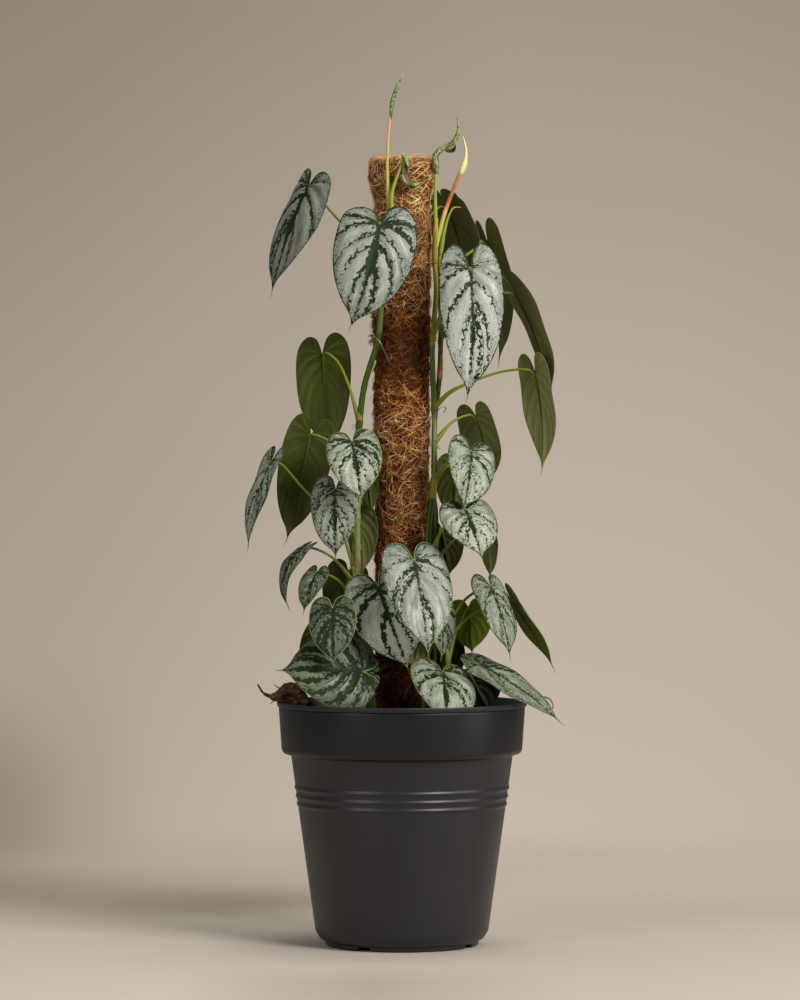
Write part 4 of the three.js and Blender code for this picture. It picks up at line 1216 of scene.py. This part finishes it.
# %% Sheaths and age
SHEATHS = {  # vine: (from height, to height, side in degrees from the front, how dry it is)
    "left": [(552, 560, -70, 0.5), (398, 421, -80, 0.8), (683, 714, 40, 0.15)],
    "right": [(633, 672, 10, 0.4), (470, 494, 20, 0.2), (716, 750, 30, 0.3)],
    "right_rear": [(594, 622, 40, 0.95), (506, 520, 20, 0.9)],
    "back": [(330, 346, 180, 1), (560, 580, 190, 0.8), (700, 716, 170, 0.4)],
    "left_low": [(380, 392, 0, 0.8)],
    "base": [(318, 326, 0, 1)],
}
YOUNG = {  # vine: heights, and how young the stem is there
    "left": ((240, 380, 386, 470, 480, 560, 638, 646, 690, 705, 775),
             (0.05, 0.1, 0.37, 0.38, 0.12, 0.08, 0.1, 0.26, 0.3, 0.6, 0.8)),
    "right": ((240, 468, 472, 550, 560, 630, 636, 660, 700, 765),
              (0.1, 0.1, 0.34, 0.34, 0.22, 0.24, 0.38, 0.6, 0.82, 1.0)),
    "right_rear": ((240, 560, 640, 700, 745), (0.05, 0.12, 0.2, 0.6, 0.85)),
    "back": ((240, 600, 790), (0.05, 0.3, 0.8)),
    "left_low": ((240, 392, 470), (0.15, 0.4, 0.6)),
    "base": ((240, 350), (0.1, 0.5)),
}
SEEDS = {"left": 69, "right": 122, "right_rear": 139, "back": 87, "left_low": 47, "base": 157}
TUFT = 642  # height of the thick tuft of roots on the left vine
print("sheaths:", sum(len(rows) for rows in SHEATHS.values()))

# %% [markdown]
# ## Growing the stems
# A stem is one long bar, a little thicker where a leaf grows and marked there by the ring of an
# old scar. Its sheaths are wider bars that lean away at the top. Short hairs, the beginnings of
# aerial roots, stand out at the nodes as thin bars. Hair particles would be quicker to make, but
# bars export with the stem as one mesh.

# %% Growing the stems

def grow_vine(name):
    thick, thin, _ = VINES[name]
    line, rng, bench = vine_lines[name], np.random.default_rng(SEEDS[name]), Bench()
    path, share = evenly(line, int(np.linalg.norm(np.diff(line, axis=0), axis=1).sum() / 3))
    height = path[:, 2]
    nodes = [row["node"] for row in LEAVES.values() if row["vine"] == name]
    swell = sum(np.exp(-((height - z) / 4.5) ** 2) for z in nodes)
    ring = sum(np.exp(-((height - z - 5) / 1.0) ** 2) for z in nodes)
    radius = (thick + (thin - thick) * share) * (1 + 0.17 * np.minimum(swell, 1.2))
    if name == "right":
        radius = radius * np.interp(height, (490, 500, 552, 566), (1, 0.72, 0.76, 1))
    points, faces, _ = bar(path, radius[:, None] * (1 + 0.03 * rng.normal(size=(len(path), 14))), 14)
    bench.add(points, faces, young=np.interp(points[:, 2], *YOUNG[name]),
              dry=np.interp(points[:, 2], height, 0.4 * np.minimum(1, ring)))
    for low, high, side, dryness in SHEATHS[name]:
        part, t = evenly(line[(line[:, 2] > low) & (line[:, 2] < high + 4)], 16)
        lean = np.array([math.sin(math.radians(side)), -math.cos(math.radians(side)), 0])
        width = ((np.interp(part[:, 2], height, radius) + 0.35)
                 * np.interp(t, [0, 0.1, 0.7, 1], [0.9, 1.04, 0.8, 0.12]))
        bench.bar(part + lean * (0.5 + 2.2 * t[:, None] ** 3), width, 14,
                  young=0.9 - 0.6 * dryness,
                  dry=lambda share: dryness * np.interp(share, [0, 0.12, 1], [0.5, 1, 1]))
    for z in nodes + [TUFT] * 5 * (name == "left"):
        for _ in range(5):
            start, turn = vine_at(name, z - rng.uniform(0, 7)), rng.uniform(0, TURN)
            if z == TUFT:
                turn = rng.uniform(2.4, 4.4)
            out = np.array([math.cos(turn), math.sin(turn), rng.uniform(-0.6, 0.3)])
            reach = rng.uniform(4.5, 8.5) + 4 * (z == TUFT)
            hair = spline([start, start + out * reach * 0.6, start + out * reach + [0, 0, -1.2]], 4)
            bench.bar(hair, np.linspace(0.55, 0.2, len(hair)), 5, young=0.0, dry=0.45)
    stand_in(bench.piece(f"vine_{name}_stem", stem_finish), "stem", "vine_" + name)


for name in VINES:
    grow_vine(name)

# %% [markdown]
# ## Finishes of the new growth
# Young stalks blush from green to orange, and the palest young leaf is almost cream. Patches of
# the coming silver already show on the others. Values on the points say how blushed, how pale
# and how fresh each spot is, so the same two finishes serve all five shoots.

# %% Finishes of the new growth
shoot_finish = Finish("young_stalk", 0.4, 0.2)
tint = shoot_finish.ramp(shoot_finish.value("blush"), (0, (112, 138, 30)), (0.35, (166, 170, 56)),
                         (0.6, (214, 166, 114)), (0.78, (200, 104, 56)), (1, (150, 66, 40)))
soft = shoot_finish.noise(shoot_finish.place(), 260, 3)
shoot_finish.wear(shoot_finish.mix(soft * 0.3, tint, (200, 190, 120)))
roll_finish = Finish("young_leaf", 0.42)
value, mix = roll_finish.value, roll_finish.mix
pale, patch = value("pale"), roll_finish.noise(roll_finish.place(), 330, 3, 0.6)
leafy = mix(patch.step(0.4, 0.58), (62, 78, 24), (138, 148, 92))
# deep darkens the green along the seams, and as painted shade on the flap of the hooked shoot
leafy = mix(value("deep"), leafy, (40, 50, 14))
inner = mix(pale.step(0.2, 0.5), leafy, mix(patch, (196, 178, 132), (170, 146, 106)))
inner = mix(value("fresh"), inner, (116, 144, 30))
roll_finish.wear(mix(pale.step(0.6, 0.9), inner, mix(patch, (226, 220, 168), (200, 196, 130))),
                 bump=(patch, 0.0003, 1))
print("finishes so far:", len(bpy.data.materials))

# %% [markdown]
# ## Rolling a leaf
# A young leaf is still rolled up: a sheet wound about its own length. A plain bar would look like
# a bean, without the overlap of the sheet. So its section is a spiral with a small thickness,
# swept along a curve, with a size that swells and shrinks and a number of turns that changes.

# %% Rolling a leaf
def rolled(path, radius, turns, first, twist, thickness=0.55, steps=26):
    """Points and triangles of a sheet rolled about a path. At each ring it has a radius and goes
    round so many turns. The first angle is where it starts from."""
    rows, width = len(path), 2 * steps
    along, _, _ = carried_frames(path)
    toward = unit(np.array([0, -1.0, 0]) + along * along[:, 1:2])
    across = np.cross(along, toward)
    j = np.linspace(0, 1, steps)
    angle = (np.radians(first) + twist * np.linspace(0, 1, rows)[:, None]
             + turns[:, None] * TURN * j)
    spiral = radius[:, None] * (1 - 0.3 * np.minimum(1, turns[:, None]) * j)
    ring = toward[:, None] * np.cos(angle)[..., None] + across[:, None] * np.sin(angle)[..., None]
    thin = np.minimum(thickness, 0.6 * radius)[:, None, None]
    outer = path[:, None] + ring * spiral[..., None]
    inner = path[:, None] + ring * (spiral[..., None] - thin)
    loop = np.concatenate([outer, inner[:, ::-1]], axis=1)
    i = np.arange(steps - 1)
    end = triangles_of(np.stack([i, i + 1, width - 2 - i, width - 1 - i], 1))
    faces = np.concatenate([triangles_of(grid_faces(rows, width)), end[:, ::-1],
                            end + (rows - 1) * width])
    edge = np.tile(np.concatenate([j, j[::-1]]), rows)
    inside = np.tile(np.repeat([0.0, 1.0], steps), rows)
    return loop.reshape(-1, 3), faces, np.repeat(np.linspace(0, 1, rows), width), edge, inside


half_turn = rolled(sample, np.full(len(sample), 2.0), np.full(len(sample), 0.5), 0, 0)
print("a sample roll has", len(half_turn[1]), "triangles")

# %% [markdown]
# ## One shoot
# A shoot is a stalk with one or two rolled leaves on it, or none. Its radius, turns and blush are
# given as a few values spread evenly along the length, which is easier to adjust than a formula.
# The seams of the sheet are a little darker, as on the plant.

# %% One shoot
def shaped(share, values):
    """Values spread evenly along a share of 0 to 1."""
    return np.interp(share, np.linspace(0, 1, len(values)), values)


def shoot(name, stalk, *rolls):
    """One young shoot: a stalk as (route, radii, blush) and the leaves rolled up on it."""
    bench = Bench()
    route, radius, blush = stalk
    path, share = evenly(spline(route, 16), 40)
    bench.bar(path, shaped(share, radius), 12, blush=lambda share: shaped(share, blush))
    for route, radius, turns, first, look in rolls:
        path, share = evenly(spline(route, 16), 48)
        points, faces, run, edge, inside = rolled(
            path, shaped(share, radius), shaped(share, turns), first, look.get("twist", 0))
        seam = np.exp(-(edge * 30) ** 2) + np.exp(-((1 - edge) * 30) ** 2)
        fresh = look["fresh"](run, edge) if "fresh" in look else 0
        bench.add(points, faces, slot=1, pale=look["pale"](run, edge, inside), fresh=fresh,
                  deep=np.clip(look.get("deep", 0) + 0.8 * seam, 0, 1))
    stand_in(bench.piece(name + "_grown", shoot_finish, roll_finish), "shoot", name)


print("the middle of three values is", shaped(0.5, (1, 3, 2)))

# %% [markdown]
# ## New growth
# Four young leaves are still rolled up, and one is only a green sheath. The tall one stands above
# everything else. The curled one is made of two rolls, an upright one and one that turns up like a
# hook, both with fresh bright green at their ends. Each was shaped against the photograph.

# %% New growth
shoot("shoot_tall", (
    [(-13, -37, 757), (-15, -38, 800), (-15, -38, 832), (-12, -37, 876)],
    (2.4, 2.2, 1.9, 1.5, 1.3, 1.2), (0.15, 0.3, 0.4, 0.45, 0.6, 0.62)),
    ([(-12, -37, 868), (-10, -37, 885), (-5, -37, 901), (2, -37, 917)],
     (1.5, 2.0, 2.5, 2.5, 2.2, 1.6, 0.8, 0.3), (1.25, 1.3, 1.2, 1.3, 1.2, 1), 200,
     dict(twist=2.2, pale=lambda run, edge, inside: 0.25 * inside + 0.4 * (run > 0.85))))
shoot("shoot_curled", (
    [(-14, -39, 750), (-11, -43, 766), (-10, -43, 792), (0, -43, 820)],
    (2.4, 2.1, 1.9, 1.7, 1.6), (0.0, 0.05, 0.1, 0.1, 0.1)),
    ([(0, -44, 830), (3, -44, 827), (4, -44, 820), (3, -44, 811)],
     (1.4, 3.8, 4.3, 4.3, 4.1, 3.6), (1.1, 1.1, 0.95, 0.8, 0.6), 20,
     dict(deep=0.1, pale=lambda run, edge, inside: 0.5 * inside * (run > 0.6),
          fresh=lambda run, edge: 0.9 * np.exp(-((edge - 0.75) / 0.12) ** 2) * (run < 0.75))),
    ([(2, -43, 817), (3, -44, 808), (7, -44, 801), (13, -44, 798), (18, -44, 800)],
     (2.2, 4.8, 5.4, 4.8, 4.2, 3.4, 1.4), (0.6, 0.6, 0.56, 0.6, 0.85, 1.1), 80,
     dict(deep=0.55, fresh=lambda run, edge: np.clip((run - 0.76) / 0.1, 0, 0.9),
          pale=lambda run, edge, inside: (
              0.5 * inside * (edge > 0.3) * (edge < 0.93) * (run < 0.8)))))
shoot("shoot_hooked", (
    [(36, -18, 745), (35, -20, 790), (36, -20, 818)],
    (2.4, 2.1, 1.9, 1.7, 1.6), (0.3, 0.15, 0.1, 0.1, 0.1)),
    ([(36.5, -20, 812), (36, -20, 822), (35.5, -19, 831), (42, -17, 838), (53, -16, 844),
      (59, -16, 855), (58, -16, 872)],
     (2.9, 3.9, 3.9, 3.6, 3.3, 3.0, 2.3, 1.3, 0.35), (1.3, 1.3, 1.2, 1.1, 1.2, 1.2, 1), 150,
     dict(deep=0.1, pale=lambda run, edge, inside: 0.25 * inside)),
    # painted shade: this flap hangs in shade and is darker
    ([(43, -17, 840), (48, -17, 838), (53, -17, 838.5), (56, -16.5, 843)],
     (1.2, 3.6, 4.2, 0.8), (0.34, 0.36, 0.36, 0.3), 60,
     dict(deep=0.85, pale=lambda run, edge, inside: 0.1 * inside)))
shoot("shoot_pale", (
    [(35, -18, 733), (44, -14, 768), (53, -12, 793), (62, -10, 816)],
    (2.7, 2.4, 2.2, 2.0, 1.8), (0.2, 0.35, 0.45, 0.95, 1.0, 0.85)),
    ([(61.5, -10, 812), (66, -9, 824), (67.5, -9, 836), (64.5, -9, 852)],
     (2.3, 3.6, 3.5, 2.2, 1.5, 1.2, 0.9, 0.35), (1.2, 1.2, 1.1, 1), 100,
     dict(pale=lambda run, edge, inside: 1)))
shoot("shoot_sheath", (
    [(40.5, -5, 728), (44, -8, 752), (50, -10, 770), (55, -10, 777), (62, -10, 777)],
    (2.2, 2.9, 2.7, 1.8, 1.0, 0.35), (0.15, 0.05, 0.0, 0.0, 0.1, 0.35)))

# %% [markdown]
# ## Coir mat
# Coir is the stiff brown hair of coconut husks, matted into a sleeve about a wooden stake. The
# strands alone would have to be far more to hide the stake. So a closed lumpy body in a dark
# brown lies under them, lighter at its dry head. A formula for its radius says how far out it
# reaches at each point, and the strands use it too.

# %% Shape of the mat
SLEEVE = np.array([
    (27, 60), (27, 230), (28, 300), (28, 400), (29, 440), (27.5, 500), (29.5, 560), (28.5, 620),
    (30, 680), (30.5, 740), (28.5, 772), (28.5, 786), (32, 797), (35.5, 808), (35.5, 818),
    (32, 827)], float)
MAT_SINK = 1.6  # the mat lies this far inside the sleeve's outline
POLE_TOP = 826


def clump(spot):
    """Tufts and pits a centimetre or so across."""
    return 1.1 * lumps(spot, 9, 26) + 0.6 * lumps(spot, 5, 27)


def mat_radius(turn, z):
    """Radius of the mat, with the hollows and bulges of a hand-stuffed sleeve."""
    spot = np.stack([30 * np.cos(turn), 30 * np.sin(turn), z], -1)
    base = np.interp(z, SLEEVE[:, 1], SLEEVE[:, 0])
    return base - MAT_SINK + 1.0 * lumps(spot, 46, 21) + 0.8 * lumps(spot, 15, 22) + clump(spot)


def round_pole(radius, turn, z):
    return np.stack([radius * np.cos(turn), radius * np.sin(turn), z], -1)


print("halfway up, the mat is", round(float(mat_radius(np.array(0.0), np.array(500.0)))), "mm out")

# %% Coir mat
coir_finish = Finish("coir_mat", 0.85, 0.25)
at = coir_finish.place()
threads = coir_finish.noise(coir_finish.scaled(at, (1, 1, 1.6)), 520, 5, 0.75)
brown = coir_finish.mix(threads.step(0.38, 0.66), (26, 13, 6), (116, 68, 32))
brown = coir_finish.mix(coir_finish.noise(at, 38, 3).step(0.35, 0.65), brown, (58, 33, 18))
head = coir_finish.part(at, "Z").step(0.70, 0.78) * threads.step(0.3, 0.6)
coir_finish.wear(coir_finish.mix(head, brown, (156, 104, 56)), bump=(threads, 0.0015, 1))

rows, sides = 250, 132
turn, z = np.meshgrid(round_angles(sides), np.linspace(SLEEVE[0, 1], SLEEVE[-1, 1] - 2, rows))
radius = mat_radius(turn, z)
spot = round_pole(radius, turn, z)
wall = round_pole(radius + 0.55 * lumps(spot, 5.2, 23) + 0.35 * lumps(spot, 2.6, 24), turn, z)
crown = np.array([wall[-1] * [share, share, 0] + [0, 0, POLE_TOP + 1.5 * (1 - share)]
                  for share in (0.86, 0.66, 0.44, 0.22, 0.0)])
crown[..., 2] += 1.2 * lumps(crown, 9, 25) * np.array([0.6, 1, 1, 1, 0])[:, None]
coir = Bench()
coir.add(np.concatenate([wall[:1] * [0, 0, 1], wall, crown]), grid_faces(rows + 6, sides))
stand_in(coir.piece("coir_mat", coir_finish), "coir", "coir_sleeve")

# %% [markdown]
# ## Paths of the strands
# On the real pole, thousands of stiff hairs bend, dive into the mat and come up again. Each here
# has five points that follow the mat's radius and rise in an arch between. All of them are worked
# out at once, as one array, because a loop over single hairs would take minutes.

# %% Paths of the strands
STEPS = 5  # points along each strand
RISING, ARCH = np.linspace(0, 1, STEPS)[None], 1 - np.linspace(-1, 1, STEPS)[None] ** 2


def strand_points(rng, count, low, high, length, sway, lift, stray=0.0, slant=None):
    """Middle lines of strands that lie on the mat, as (count, STEPS, 3), in mm. With a slant they
    are straight and climb left or right at that angle."""
    z0 = rng.uniform(low, high, (count, 1))
    turn0 = rng.uniform(0, TURN, (count, 1))
    size = rng.uniform(*length, (count, 1))
    heading = rng.normal(0, 0.95, count) + math.pi * (rng.uniform(size=count) > 0.5)
    if slant:
        heading = rng.choice([-slant, slant], count) + rng.normal(0, 0.2, count)
    step = (RISING - 0.5) * size
    direction = heading[:, None] + rng.normal(0, sway, (count, 1)) / size * step
    wave = 0.05 if slant else 0.35
    direction = direction + wave * np.sin(step / 5.5 + rng.uniform(0, 6, (count, 1)))
    across, rise = (np.cumsum(f(direction) * size / (STEPS - 1), 1) for f in (np.cos, np.sin))
    z = np.clip(z0 + rise - rise[:, STEPS // 2, None], 64, 824)
    turn = turn0 + (across - across[:, STEPS // 2, None]) / 29
    above = rng.uniform(-0.2, 0.9, (count, 1)) + rng.uniform(*lift, (count, 1)) * ARCH
    above = above + stray * rng.uniform(0, 1, (count, 1)) * RISING**2
    return round_pole(mat_radius(turn, z) + above, turn, z)


def crown_points(rng, count):
    """Strands that lie over the top of the pole or stand up from it."""
    out = 34 * np.sqrt(rng.uniform(size=(count, 1)))
    turn, heading = rng.uniform(0, TURN, (count, 1)), rng.uniform(0, TURN, (count, 1))
    step = (RISING - 0.5) * rng.uniform(8, 26, (count, 1))
    direction = heading + rng.normal(0, 1.2, (count, 1)) / 20 * step
    x = out * np.cos(turn) + step * np.cos(direction)
    y = out * np.sin(turn) + step * np.sin(direction)
    far = np.hypot(x, y)
    keep = np.minimum(1, 35 / np.maximum(far, 1e-6))
    z = POLE_TOP - 0.5 + rng.uniform(-0.5, 2.2, (count, 1)) + rng.uniform(0, 3, (count, 1)) * ARCH
    z = z - np.maximum(0, far - 33) * 0.8
    z = z + (rng.uniform(size=(count, 1)) > 0.86) * RISING**2 * 6
    return np.stack([x * keep, y * keep, z], -1)


print("a strand bends at", STEPS, "points")

# %% [markdown]
# ## Straws on the head
# The longest and palest fibres on the dry head catch the eye, so chance can't place them. These
# are laid one by one, each through three spots seen from the front. The rest stay random.

# %% Straws on the head
def straw(*spots):
    """A strand just off the mat through three spots of (across, height, lift), seen from the
    front."""
    line = []
    for x, z, lift in spots:
        turn = -math.pi / 2 + math.asin(max(-0.98, min(0.98, x / 31)))
        line.append(round_pole(mat_radius(np.array(turn), np.array(float(z))) + lift, turn, z))
    return evenly(spline(line, 8), STEPS)[0]


STRAWS = np.array([straw(*spots) for spots in (  # the longest, palest fibres on the pole's head
    ((-33, 803, 2), (-27, 799, 4), (-19, 801, 3)), ((5, 807, 1.5), (13, 815, 4), (21, 823, 2)),
    ((12, 806, 1), (18, 812, 3), (25, 819, 1.5)), ((-4, 790, 1), (5, 794, 3), (13, 797, 2)),
    ((6, 778, 1), (15, 783, 3), (23, 789, 1)), ((-10, 812, 2), (-4, 819, 3), (-1, 828, 1)),
    ((-24, 812, 1), (-18, 806, 3), (-14, 797, 1)), ((22, 802, 1), (27, 795, 3), (28, 787, 1)),
    ((8, 768, 1), (17, 771, 3), (25, 776, 2)), ((-26, 786, 1), (-19, 781, 3), (-12, 783, 1)),
    ((10, 735, 1), (17, 741, 2.5), (23, 748, 1)), ((3, 716, 1), (11, 725, 2.5), (17, 731, 1)),
)])
print(len(STRAWS), "straws laid by hand")

# %% [markdown]
# ## Strand finish
# A strand's colour runs from nearly black through red brown to straw, by a value called tone.
# Coir is darker low down and in a belt below the head, partly as damp coir and partly as painted
# shade where the leaves shade the pole, and lighter at the dry head, with a painted highlight where
# the top light falls. Painted shade also darkens strands that lie deep between tufts, and painted
# light brightens those on top of them. That is worked out once for each strand, which keeps the
# finish simple.

# %% Strand finish
strand_finish = Finish("coir_strand", 0.65, 0.2)
strand = strand_finish.ramp(strand_finish.value("tone"), (0, (22, 8, 2)), (0.3, (134, 74, 28)),
                            (0.6, (212, 142, 78)), (0.85, (236, 182, 112)), (1, (244, 214, 156)))
patches = strand_finish.noise(strand_finish.place(), 34, 3).step(0.5, 0.68)
strand_finish.wear(strand_finish.mix(patches * 0.45, strand, (84, 48, 24)))

print("the strand's finish has", len(strand_finish.tree.nodes), "nodes")

# %% [markdown]
# ## Coir strands
# Each strand is a thin three-sided bar, which is the least that still catches light on one side.
# Most are short and bent. Some longer ones are drawn straight and slanting, some stand off, some
# stick out, and a few are thick and pale. They make three pieces, from the soil to the head.
# Blender's hair would be lighter to store, but real bars export with the part.

# %% A batch of strands
# painted shade and light on the strands: darker where the leaves shade the pole, with damp coir low
# down, and lighter at the dry head where the top light falls
SHADE_AND_DAMP_HEIGHTS = (240, 300, 360, 470, 560, 600, 640, 680, 760, 830)
SHADE_AND_DAMP = (0.38, 0.56, 0.78, 0.95, 1.1, 0.52, 0.3, 1.1, 1.3, 1.65)  # darker where the coir is damp


def add_strands(bench, paths, thickness, tone):
    """Adds thin three-sided bars along many paths at once."""
    count = len(paths)
    along = unit(np.gradient(paths, axis=1))
    across = unit(np.cross(along, unit(paths * [1, 1, 0.15])))
    up = np.cross(across, along)
    taper = np.interp(RISING, [0, 0.2, 0.8, 1], [0.45, 1, 1, 0.3])
    radius = (thickness[:, None] * taper)[..., None]
    rings = [paths + (across * math.cos(angle) + up * math.sin(angle)) * radius
             for angle in round_angles(3) + math.pi / 2]
    last = (STEPS - 1) * 3
    one = np.concatenate([triangles_of(grid_faces(STEPS, 3))[:, ::-1],
                          [[0, 1, 2], [last, last + 2, last + 1]]])
    faces = (one[None] + (np.arange(count) * STEPS * 3)[:, None, None]).reshape(-1, 3)
    middle = paths[:, STEPS // 2]
    shade_and_damp = np.interp(middle[:, 2], SHADE_AND_DAMP_HEIGHTS, SHADE_AND_DAMP)
    # painted shade on strands deep between tufts, and painted light on those on top
    painted_tuft_shade = np.clip(0.86 + 0.42 * clump(middle), 0.3, 1.25)
    bench.add(np.stack(rings, 2), faces, tone=np.repeat(tone * shade_and_damp * painted_tuft_shade, STEPS * 3))


print("damp runs from", min(SHADE_AND_DAMP), "to", max(SHADE_AND_DAMP))

# %% Coir strands
def coir_part(name, seed, low, high, count, head=False):
    """One piece of the coir's strands: most of them, and then drawn, loose, stray and pale ones."""
    rng, bench = np.random.default_rng(seed), Bench()

    def lay(paths, thickness, tones):
        thick = rng.uniform(*thickness, len(paths))
        add_strands(bench, paths, thick, tones(len(paths)))

    def even(dark, light):
        return lambda number: rng.uniform(dark, light, number)

    def strands(number, *shape, **more):
        return strand_points(rng, number, low, high, *shape, **more)

    lay(strands(count, (7, 28), 1.1, (0.0, 1.9)), (0.13, 0.36),
        lambda number: rng.beta(0.85, 1.0, number) * 1.1)
    drawn = strands(int((high - low) / 4), (26, 56), 0.3, (0.4, 1.2), slant=0.8)
    lay(drawn * [1.03, 1.03, 1], (0.2, 0.32), even(0.6, 0.95))
    lay(strands(count // 5, (10, 30), 2.6, (1.0, 4.0), stray=2.0), (0.12, 0.2), even(0.3, 0.95))
    lay(strands(count // 14, (8, 22), 1.5, (0.5, 2.0), stray=7.0), (0.11, 0.2), even(0.3, 0.9))
    lay(strands(count // 34, (8, 24), 0.15, (1.6, 3.4)), (0.28, 0.55), even(0.9, 1.25))
    if head:
        lay(STRAWS, (0.4, 0.6), even(0.72, 0.86))
        lay(crown_points(rng, 760), (0.14, 0.26), lambda number: rng.beta(2.4, 2.2, number) * 0.9)
    stand_in(bench.piece(name, strand_finish), "coir", "coir_sleeve")


coir_part("coir_strands_low", 31, 240, 440, 3250)
coir_part("coir_strands_middle", 33, 440, 640, 4850)
coir_part("coir_strands_high", 32, 640, 824, 4450, head=True)

# %% [markdown]
# ## Stake
# A wooden stake carries the pole. It is hidden in the coir, so its plain solid stays as it is and
# only gets a finish, with a grain drawn out along its length.

# %% Stake
wood_finish = Finish("stake_wood", 0.75, 0.3)
growth = wood_finish.noise(wood_finish.scaled(wood_finish.place(), (60, 60, 3)), 6, 4, 0.6)
wood_finish.wear(wood_finish.mix(growth, (150, 116, 76), (186, 154, 110)),
                 bump=(growth, 0.0004, 1))
stake = frame["nodes"]["pole_core"]
stake.data.materials.clear()
stake.data.materials.append(wood_finish.material)
print("the stake keeps its", len(stake.data.polygons), "faces")

# %% [markdown]
# ## Pins
# Two bent wire pins hold the stems to the pole. Wire keeps the shape it is bent to, so nothing
# has to be simulated: a thin bar goes out of the coir and round the stem. Bare wire is a metal,
# and rubbed spots on it are a little rougher.

# %% Pins
pin_finish = Finish("pin_wire", 0.32)
pin_finish.put(1.0, pin_finish.shader.inputs["Metallic"])
rub = pin_finish.noise(pin_finish.place(), 500, 3)
pin_finish.wear(pin_finish.mix(rub, (150, 152, 154), (104, 104, 102)), roughness=rub * 0.2 + 0.26)
PINS = {
    "pin_right": [(14, -12, 548), (22, -24, 548), (28, -30, 552), (36, -31, 561), (42, -29, 567),
                  (46, -27, 566), (44, -26, 561)],
    "pin_left": [(-8, -14, 606), (-13, -30, 612), (-17, -38, 622), (-24, -41, 636),
                 (-31, -38, 642), (-31, -28, 638), (-24, -14, 632)],
}
for name, route in PINS.items():
    bench = Bench()
    bench.bar(evenly(spline(route, 16), 60)[0], 0.55, 10)
    stand_in(bench.piece(name + "_wire", pin_finish), "pin", name)

# %% [markdown]
# ## Bark
# A scrap of dry bark leans over the rim on the left. A thin root curls up from its end, a broken
# chip lies against it, and three short twigs stick out. Sculpting would suit it well, but a script
# can't do it by hand. So all of it is bars, and the surface of the larger two is uneven.

# %% Bark
bark_finish = Finish("dry_bark", 0.9, 0.2)
plates = bark_finish.noise(bark_finish.scaled(bark_finish.place(), (1, 2.4, 2.4)), 160, 5, 0.7)
bark_finish.wear(bark_finish.ramp(plates, (0.3, (38, 26, 19)), (0.52, (88, 64, 46)),
                                  (0.7, (150, 122, 94))), bump=(plates, 0.0018, 1))
SCRAP = [(-88, -22, 239.6), (-104, -17, 255), (-118, -14, 263), (-130, -12, 262.3),
         (-139, -11, 262.5), (-146, -10, 266), (-152, -10, 275)]
CHIP = [(-131, -26, 262), (-121, -28, 271), (-111, -30, 270), (-99, -32, 255)]
TWIGS = (((-126, -18, 268), (-9, -3, 9), 1.1), ((-118, -20, 268), (6, -4, 7), 0.8),
         ((-132, -15, 259), (-7, -5, -3), 0.9))  # foot, reach and radius
scrap = Bench()


def gnarled(line, size, sides, depth):
    """A bar along a line whose surface is pushed out by a depth worked out at each point."""
    points, faces, _ = bar(line, size, sides)
    skin = points[:-2]
    away = unit(skin - np.repeat(line, sides, axis=0))
    points[:-2] += away * depth(skin)[:, None]
    scrap.add(points, faces)


line = spline(SCRAP, 12)
size = np.interp(np.arange(len(line)) / 12, np.arange(7), [6.5, 9, 8.5, 6.6, 2.4, 1.4, 0.8])
gnarled(line, size, 26, lambda skin: np.repeat(size, 26) * np.clip(
    0.16 * lumps(skin, 9, 41) + 0.1 * lumps(skin, 3.6, 42), -0.3, 0.3))
line = spline(CHIP, 10)
chip_size = np.interp(np.linspace(0, 1, len(line)), [0, 0.35, 0.7, 1], [2.0, 6.4, 6.8, 4.0])
gnarled(line, chip_size, 20, lambda skin: 0.7 * lumps(skin, 5, 44))
for start, out, thick in TWIGS:
    start, out = np.array(start, float), np.array(out, float)
    twig = spline([start - out * 0.3, start + out * 0.4, start + out + [0, 0, -1.5]], 8)
    scrap.bar(twig, np.linspace(thick, 0.3, len(twig)), 8)
stand_in(scrap.piece("bark_scrap_piece", bark_finish), "bark", "bark_scrap")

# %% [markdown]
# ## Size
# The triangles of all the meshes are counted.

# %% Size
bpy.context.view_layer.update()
total = sum(len(p.data.polygons) for p in bpy.data.objects if p.type == "MESH")
print("triangles in all:", total)
